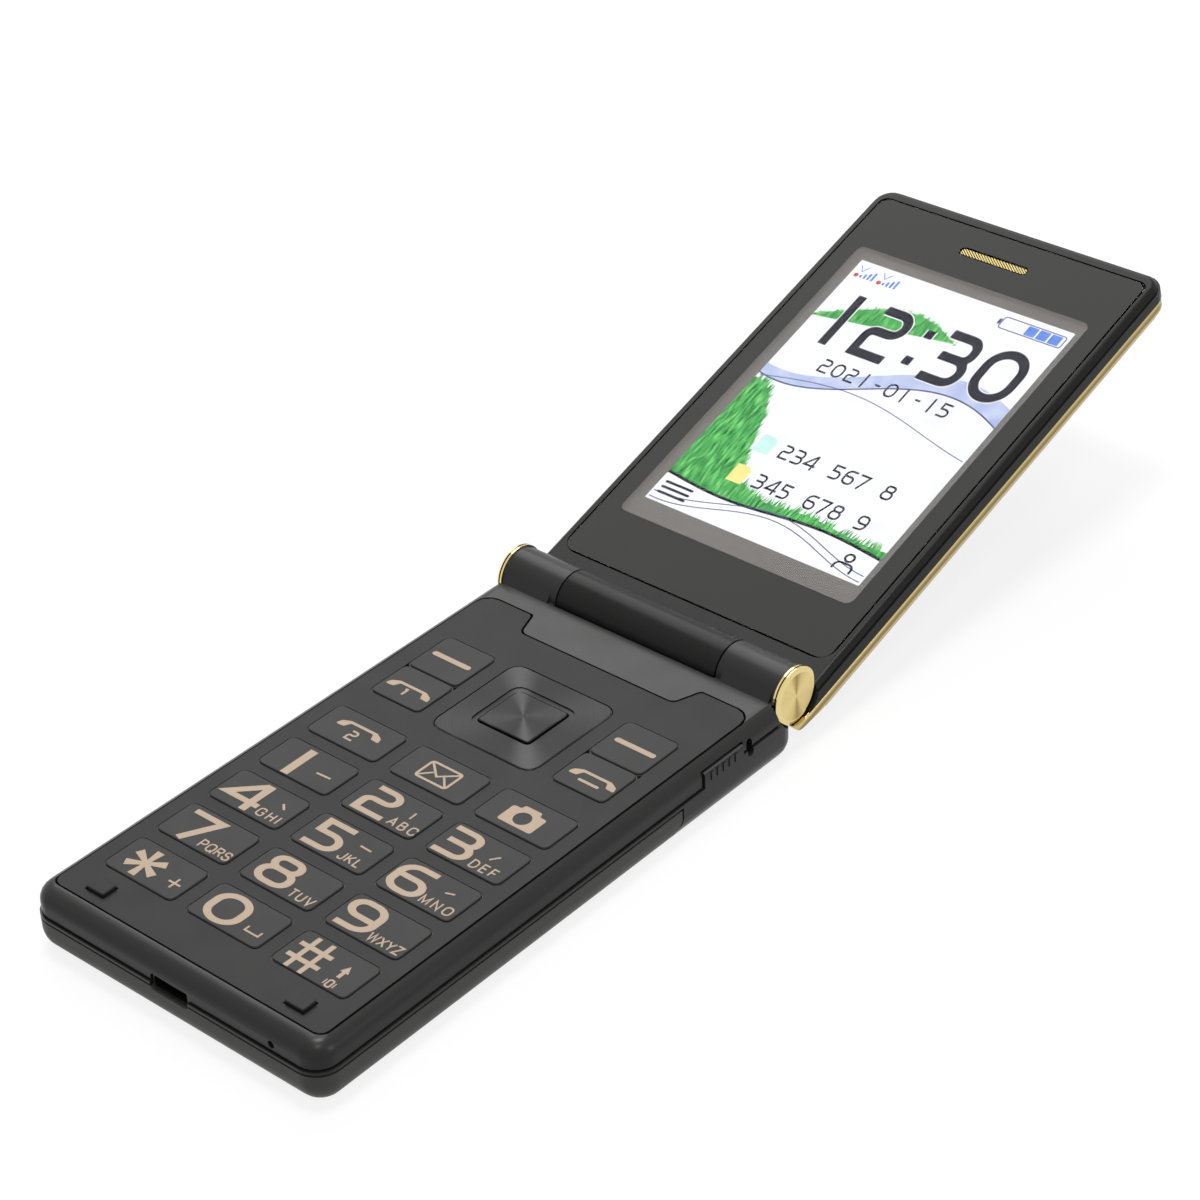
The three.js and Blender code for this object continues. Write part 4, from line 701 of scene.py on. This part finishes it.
def envelope(x, y):
    faces = strip(rounded(0, 0, 5.8, 3.9, 0.5), 0.42, True)
    faces += line(((-2.7, 1.75), (0, -0.55), (2.7, 1.75)), 0.36)
    for side in (-1, 1):
        faces += bar(side * 2.7, -1.75, side * 1.0, 0.0, 0.34)
    return moved(faces, x, y)


def camera_mark(x, y):
    body = [(-3.1, -2.3, 0.45), (3.1, -2.3, 0.45), (3.1, 1.4, 0.45), (1.75, 1.45, 0.15), (1.5, 2.25, 0.3),
            (-1.5, 2.25, 0.3), (-1.75, 1.45, 0.15), (-3.1, 1.4, 0.45)]
    return moved(filled(filleted(body, True), disc(0, -0.3, 1.4)), x, y)


def hash_key():
    """The hash, an arrow upwards and a ringing phone."""
    faces = hash_mark(-2.8, -0.2)
    faces += filled([(2.5, 0.1), (4.0, 0.1), (3.25, 1.5)]) + bar(3.25, 0.2, 3.25, -1.1, 0.6)
    faces += strip(rounded(3.25, -2.6, 0.8, 1.4, 0.3), 0.28, True)
    return faces + bar(2.4, -2.1, 2.4, -3.1, 0.2) + bar(4.1, -2.1, 4.1, -3.1, 0.2)


# Faces of each key's legend, in mm from the middle of the key, by rows from the front
KEY_LEGENDS = {
    "key_star": star(-1.85, -0.2) + bar(3.4, -0.78, 5.65, -0.78, 0.34) + bar(4.52, 0.3, 4.52, -1.85, 0.34),
    "key_0": numeral("0", -2.05, -0.1) + line(((2.85, -0.8), (2.85, -1.75), (5.35, -1.75), (5.35, -0.8)), 0.3),
    "key_hash": hash_key(),
    "key_7": numeral("7", -1.8, -0.2) + word("PQRS", 0.66, 6.6, -3.08),
    "key_8": numeral("8", -2.2, 0.1) + word("TUV", 1.82, 6.39, -3.08),
    "key_9": numeral("9", -3.0, 0.1) + word("WXYZ", 0.4, 6.4, -3.08),
    "key_4": numeral("4", -2.12, -0.1) + word("GHI", 1.76, 5.95, -2.92) + bar(3.7, 1.2, 4.7, 0.25, 0.36),
    "key_5": numeral("5", -2.35, 0.0) + word("JKL", 1.5, 5.6, -2.92) + bar(2.55, 1.05, 4.65, 0.95, 0.3),
    "key_6": numeral("6", -3.1, -0.1) + word("MNO", 0.5, 6.15, -2.92) + bar(2.4, 0.7, 3.8, 1.2, 0.3),
    "key_1": numeral("1", -1.65, -0.3, 1.09) + bar(2.2, -0.6, 4.8, -0.45, 0.34),
    "key_2": numeral("2", -2.3, -0.08) + word("ABC", 1.54, 6.75, -3.04) + bar(3.7, 1.2, 3.72, -0.3, 0.3),
    "key_3": numeral("3", -3.2, -0.1) + word("DEF", 0.65, 5.4, -3.04) + bar(2.3, -0.2, 3.3, 1.1, 0.3),
    "key_call_two": handset(0, 0.75) + moved(numeral("2", 0, 0, 1.0, 1.0, 0.36), -0.1, -1.0),
    "key_message": envelope(0, -0.17),
    "key_camera": camera_mark(-0.22, -0.2),
}
COLUMN, ROW, FRONT_ROW = 16.45, 9.85, -36.0
LEGEND_RISE = 0.02


def legend(label, key, faces):
    """Print whose face lies LEGEND_RISE above a key's top."""
    thin(f"legend_{label}", key, ink, faces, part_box(key)[1].z / MM + LEGEND_RISE)


for i, (key, faces) in enumerate(KEY_LEGENDS.items()):
    legend(key.removeprefix("key_"), key, moved(faces, COLUMN * (i % 3 - 1), FRONT_ROW + ROW * (i // 3)))
for side, name in ((-1, "left"), (1, "right")):
    legend(f"soft_{name}", f"key_soft_{name}", pill(side * 17.95, 25.05, 7.5, 0.95))
number_one = bar(-17.95, 15.75, -17.95, 14.2, 0.42) + bar(-18.35, 15.5, -17.95, 15.75, 0.3)
legend("call_one", "key_call_one", handset(-17.75, 15.85) + number_one)
legend("call_end", "key_call_end", handset(18.15, 15.9) + pill(18.15, 14.6, 3.8, 0.52))

# A ring for the key mat shows in the gaps round each key, a little below the panel's face; it is coloured lighter
# than the panel as painted light, so that the gaps' shade reads thinner.
PANEL_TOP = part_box("key_0")[1].z / MM - KEY_RISE
LIP_CLEARANCE, LIP_WIDTH, LIP_DEPTH = 0.03, 0.16, 0.1


def gap_ring(name, corner):
    """A ring round the part of a key that stands above the panel."""
    above = [v.co / MM for v in nodes[name].data.vertices if v.co.z / MM > PANEL_TOP + 0.01]
    left, right = min(p.x for p in above), max(p.x for p in above)
    front, back = min(p.y for p in above), max(p.y for p in above)

    def grown(by):
        return rounded((left + right) / 2, (front + back) / 2, right - left + 2 * by, back - front + 2 * by,
                       corner + by)

    return filled(grown(LIP_CLEARANCE + LIP_WIDTH), grown(LIP_CLEARANCE))


lips = gap_ring("nav_ring", 2)
for key in nodes:
    if key.startswith("key_") and key not in ("key_ok", "key_mat"):
        lips += gap_ring(key, 1)
thin("keypad_gap_light", "base", lip, lips, PANEL_TOP - LIP_DEPTH, thickness=0.02)


# Print on the lid's pane, and what lies behind it

def lid_film(name, material, faces, height, thickness=0.01):
    thin(name, "lid", material, faces, height, LID, thickness)


pane = rounded(0, MASK_MIDDLE, MASK_WIDTH, MASK_LENGTH, MASK_CORNER)
window = rounded(0, WINDOW_MIDDLE, WINDOW_WIDTH, WINDOW_LENGTH, WINDOW_CORNER)
slot = rounded(0, EAR_MIDDLE, 13.4, 1.9, 0.9)
lid_film("window_mask", mask_ink, filled(pane, window, slot), MASK_TOP, 0.008)


def sky(t):
    cloud = t.noise(90, 4)
    return t.ramp(cloud, (0.35, (0.93, 0.95, 1.0)), (0.55, (0.98, 0.985, 1.0)), (0.75, (0.86, 0.88, 0.92)))


def grass(t):
    turf = t.math("ADD", t.math("MULTIPLY", t.noise(1.0, 3, t.scaled((2600, 420, 1), 0.3)), 0.6),
                  t.math("MULTIPLY", t.noise(1.0, 3, t.scaled((2100, 340, 1), -0.4)), 0.4))
    return t.ramp(turf, (0.38, (0.003, 0.13, 0.012)), (0.5, (0.045, 0.42, 0.075)), (0.62, (0.22, 0.72, 0.20)))


def ribbon(t):
    return t.ramp(t.noise(400, 3), (0.3, (0.42, 0.50, 0.80)), (0.7, (0.66, 0.73, 0.92)))


def plain(low, high, scale=1500):
    """Colour for glowing() that varies faintly between two tones."""
    return lambda t: t.ramp(t.noise(scale, 2), (0.3, low), (0.7, high))


screen_sky = glowing("screen_sky", sky)
screen_grass = glowing("screen_grass", grass)
screen_ribbon = glowing("screen_ribbon", ribbon)
screen_navy = glowing("screen_navy", plain((0.001, 0.002, 0.010), (0.003, 0.004, 0.016)))
screen_line = glowing("screen_line", plain((0.05, 0.055, 0.20), (0.08, 0.085, 0.28)))
screen_white = glowing("screen_white", plain((0.95, 0.96, 1.0), (1.0, 1.0, 1.0)))
screen_blue = glowing("screen_blue", plain((0.09, 0.22, 0.75), (0.16, 0.32, 0.90), 900))
screen_grey = glowing("screen_grey", plain((0.012, 0.013, 0.03), (0.02, 0.022, 0.045)))
screen_mint = glowing("screen_mint", plain((0.55, 0.90, 0.85), (0.68, 0.96, 0.92)))
screen_sun = glowing("screen_sun", plain((0.95, 0.82, 0.22), (1.0, 0.9, 0.36)))
screen_red = glowing("screen_red", plain((0.6, 0.06, 0.06), (0.75, 0.12, 0.1)))


def ear_bars():
    """What is left of the earpiece's slot between slanted gaps."""
    pitch, half_gap, reach = EAR_LENGTH / EAR_BARS, 0.15, 1.2
    lean = reach * math.tan(EAR_SLANT)
    low, high = EAR_MIDDLE - reach, EAR_MIDDLE + reach
    gaps = []
    # Three more gaps at each end, because they lean in from there
    for i in range(-3, EAR_BARS + 4):
        x = (i - EAR_BARS / 2) * pitch
        gaps.append([(x - half_gap + lean, low), (x + half_gap + lean, low),
                     (x + half_gap - lean, high), (x - half_gap - lean, high)])
    return filled(rounded(0, EAR_MIDDLE, EAR_LENGTH, EAR_WIDTH, EAR_WIDTH * 0.48), *gaps)


# The bars of the CAD's earpiece_grille slant the other way, so they are coloured flat black as painted shade of
# the slots, and these lie just above them.
lid_film("earpiece_bars", bar_gold(), ear_bars(), EAR_BARS_TOP, 0.02)

whole_screen = rounded(0, (SCREEN_LOW + SCREEN_HIGH) / 2, 2 * SCREEN_X, SCREEN_HIGH - SCREEN_LOW, 0.1)
lid_film("screen_back", screen_sky, filled(whole_screen), SCREEN_BACK)


CURVE_STEPS = 48


def between(upper, lower):
    """Quads between two curves over the screen's width."""
    xs = [-SCREEN_X + 2 * SCREEN_X * k / CURVE_STEPS for k in range(CURVE_STEPS + 1)]

    def corner(x, y):
        return Vector((x, min(SCREEN_HIGH, max(SCREEN_LOW, y))))

    quads = []
    for a, b in zip(xs, xs[1:]):
        if max(upper(a) - lower(a), upper(b) - lower(b)) > 0.02:
            quads.append([corner(a, lower(a)), corner(b, lower(b)),
                          corner(b, max(upper(b), lower(b) + 0.01)), corner(a, max(upper(a), lower(a) + 0.01))])
    return quads


def swell(x):
    return 61.5 + 5.2 * math.sin((x + 3) / 9.5)


def swell_foot(x):
    return swell(x) - 3.2 - 0.05 * x


def hill(x):
    return 31.3 + 22 / (1 + math.exp((x + 13) / 2.0)) + 0.5 * math.sin(x / 3.7)


def valley(x):
    return 29.9 + 0.7 * math.sin(x / 6.0)


def meadow_foot(x):
    return min(valley(x), hill(x))


def far_hill(x):
    return 72.0 + 4.0 * math.sin((x + 16) / 7.0)


def far_foot(x):
    return 70.6 + 0.16 * (x + 10)


def far_crest(x):
    return far_hill(x) if x < 6 else far_foot(x)


def blades(rng, crest, low, high, count, tall):
    """Blades of grass along a crest, up to that tall."""
    faces = []
    for _ in range(count):
        x = rng.uniform(low, high)
        lean, height, width = rng.uniform(-0.5, 0.5), rng.uniform(0.4, 1.0) * tall, rng.uniform(0.12, 0.26)
        foot = crest(x) - 0.25
        faces.append([Vector((x - width, foot)), Vector((x + width, foot)), Vector((x + lean, foot + height))])
    return faces


def on_screen(name, material, faces, layer):
    """A film of the lit screen, that many mm above its back."""
    lid_film(f"screen_{name}", material, faces, SCREEN_BACK + layer)


rng = random.Random(7)
on_screen("ribbon", screen_ribbon, between(swell, swell_foot), 0.01)
on_screen("ribbon_edge", screen_line, between(swell_foot, lambda x: swell(x) - 3.5 - 0.05 * x), 0.012)
on_screen("meadow", screen_grass, between(hill, valley) + blades(rng, hill, -20.4, 20.4, 230, 2.1), 0.015)
on_screen("meadow_foot", screen_navy, between(meadow_foot, lambda x: meadow_foot(x) - 0.55), 0.017)
on_screen("far_hill", screen_grass,
          between(far_crest, far_foot) + blades(rng, far_hill, -20.2, 5.0, 110, 1.1), 0.015)

curve_xs = [k * 0.9 - 20.7 for k in range(47)]
curves = []
for shift in (0.0, 1.3):
    curves += line([(x, 26.4 + shift + 2.2 * math.sin(x / 6.5 + 1.4)) for x in curve_xs], 0.18)
curves += line([(x, 54.0 + 2.6 * math.sin(x / 10.0 + 2.0)) for x in curve_xs], 0.16)
on_screen("curves", screen_line, curves, 0.018)

clock, glow = [], []
for sign, x in zip("12:30", (-15.6, -7.4, -0.3, 6.4, 15.3)):
    clock += numeral(sign, x, 69.8, 1.02, 0.82, 1.87)
    glow += numeral(sign, x, 69.8, 1.24, 0.82, 1.87)
on_screen("clock", screen_navy, clock, 0.03)
on_screen("clock_edge", screen_white, glow, 0.025)


def figures(text, left, pitch, y):
    """Small numerals in a row."""
    faces = []
    for i, sign in enumerate(text):
        if sign != " ":
            faces += numeral(sign, left + i * pitch, y, 0.8, 0.85, 0.5)
    return faces


on_screen("date", screen_grey, figures("2021-01-15", -11.8, 2.62, 59.9), 0.03)

signal = []
for left in (-20.2, -15.6):
    signal += line(((left, 81.9), (left + 0.8, 80.6), (left + 1.6, 81.9)), 0.16)
    for k in range(4):
        x = left + 1.2 + k * 0.75
        signal += bar(x, 79.3, x, 79.9 + k * 0.45, 0.4)
on_screen("signal", screen_blue, signal, 0.03)
on_screen("signal_mark", screen_red, pill(-19.9, 79.6, 0.9, 0.9) + pill(-15.3, 79.6, 0.9, 0.9), 0.031)
cell = strip(rounded(14.6, 80.4, 11.8, 2.6, 0.5), 0.2, True) + bar(8.3, 79.8, 8.3, 81.0, 0.5)
on_screen("cell", screen_line, cell, 0.03)
charge = [f for k in range(3) for f in filled(rounded(18.9 - k * 2.25, 80.4, 1.95, 2.1, 0.12))]
on_screen("charge", screen_blue, charge, 0.031)

for label, y, material, text in (("one", 41.4, screen_mint, "234 567 8"), ("two", 34.4, screen_sun, "345 678 9")):
    chip = [(-11.6, y - 1.9), (-8.6, y - 1.9), (-8.6, y + 1.1), (-9.4, y + 1.9), (-11.6, y + 1.9)]
    on_screen(f"chip_{label}", material, filled(chip), 0.03)
    on_screen(f"line_{label}", screen_grey, figures(text, -6.0, 2.5, y), 0.03)
softkeys = [f for k in range(3) for f in pill(-17.3, 25.6 + k * 1.15, 5.6, 0.5)]
softkeys += strip(disc(16.6, 27.6, 0.75), 0.4, True)
softkeys += strip(filleted([(15.0, 24.8), (15.0, 26.4, 0.9), (18.2, 26.4, 0.9), (18.2, 24.8)]), 0.4)
on_screen("softkeys", screen_grey, softkeys, 0.03)


# Stage and light

FLOOR_REACH = 3
# Strength of the white surroundings for the light that they give; seen directly or mirrored they have strength 1
WORLD_DIM = 0.12


def floor():
    """White floor that gives back less light than it shows, and can't be seen from below."""
    mesh = bpy.data.meshes.new("floor")
    r = FLOOR_REACH
    mesh.from_pydata([(-r, -r, 0), (r, -r, 0), (r, r, 0), (-r, r, 0)], [], [(0, 1, 2, 3)])
    obj = bpy.data.objects.new("floor", mesh)
    scene.collection.objects.link(obj)
    t = Tree("floor_white")
    seen = seen_rays(t.tree)
    lit = t.surface(Base_Color=t.spread(seen, 0.3, 0.93, 0, 1), Roughness=0.9, Specular_IOR_Level=0.0)
    glow = t.add("ShaderNodeEmission")
    glow.inputs["Color"].default_value = (1, 1, 1, 1)
    mixer = t.add("ShaderNodeMixShader")
    t.link(t.math("MULTIPLY", seen, 0.85), mixer.inputs[0])
    t.link(lit.outputs[0], mixer.inputs[1])
    t.link(glow.outputs[0], mixer.inputs[2])
    from_below = t.add("ShaderNodeMixShader")
    t.link(t.add("ShaderNodeNewGeometry").outputs["Backfacing"], from_below.inputs[0])
    t.link(mixer.outputs[0], from_below.inputs[1])
    t.link(t.add("ShaderNodeBsdfTransparent").outputs[0], from_below.inputs[2])
    t.link(from_below.outputs[0], t.output.inputs["Surface"])
    obj.data.materials.append(t.material)


def seen_rays(tree):
    """1 for camera, glossy and transmission rays."""
    path = tree.nodes.new("ShaderNodeLightPath")
    total = path.outputs["Is Camera Ray"]
    for name in ("Is Glossy Ray", "Is Transmission Ray"):
        node = tree.nodes.new("ShaderNodeMath")
        node.operation = "MAXIMUM"
        tree.links.new(total, node.inputs[0])
        tree.links.new(path.outputs[name], node.inputs[1])
        total = node.outputs[0]
    return total


def world():
    """White surroundings that give little light."""
    scene.world = bpy.data.worlds.new("studio")
    scene.world.use_nodes = True
    tree = scene.world.node_tree
    tree.nodes.clear()
    new, link = tree.nodes.new, tree.links.new
    dim, white = new("ShaderNodeBackground"), new("ShaderNodeBackground")
    dim.inputs["Color"].default_value = (0.95, 0.97, 1.0, 1)
    dim.inputs["Strength"].default_value = WORLD_DIM
    white.inputs["Color"].default_value = (1, 1, 1, 1)
    mixer, out = new("ShaderNodeMixShader"), new("ShaderNodeOutputWorld")
    link(seen_rays(tree), mixer.inputs[0])
    link(dim.outputs[0], mixer.inputs[1])
    link(white.outputs[0], mixer.inputs[2])
    link(mixer.outputs[0], out.inputs[0])


def lamp(name, place, target, size, power):
    """Square area lamp at a place in metres, facing the target; its power is in watts."""
    data = bpy.data.lights.new(name, "AREA")
    data.shape, data.size, data.energy = "SQUARE", size, power
    obj = bpy.data.objects.new(name, data)
    obj.location = place
    obj.rotation_euler = (Vector(target) - Vector(place)).to_track_quat("-Z", "Y").to_euler()
    scene.collection.objects.link(obj)


def camera():
    """The photo's own camera, as fitted to its straight edges."""
    data = bpy.data.cameras.new("camera")
    data.sensor_width = 36
    data.lens = 98.516
    data.clip_start = 0.01
    obj = bpy.data.objects.new("camera", data)
    place = Vector((270.951, -254.955, 289.094)) * MM
    right = Vector((0.75478068, 0.65437734, -0.04578684))
    down = Vector((0.33625198, -0.44588654, -0.82952987))
    ahead = Vector((-0.56324128, 0.6107172, -0.55658222))
    obj.matrix_world = Matrix.Translation(place) @ Matrix((right, -down, -ahead)).transposed().to_4x4()
    scene.collection.objects.link(obj)
    scene.camera = obj


floor()
world()
lamp("overhead", (-0.02, 0.05, 1.0), (0, 0.03, 0), 0.27, 6.6)
lamp("back_left", (-0.48, 0.5, 0.76), (0, 0.03, 0), 0.7, 5.2)
lamp("front_right", (0.36, -0.36, 0.68), (0.028, -0.058, 0.012), 0.14, 1.4)
lamp("right", (0.85, 0.15, 0.28), (0, 0.03, 0), 0.3, 1.35)
camera()
scene.view_settings.view_transform = "Standard"
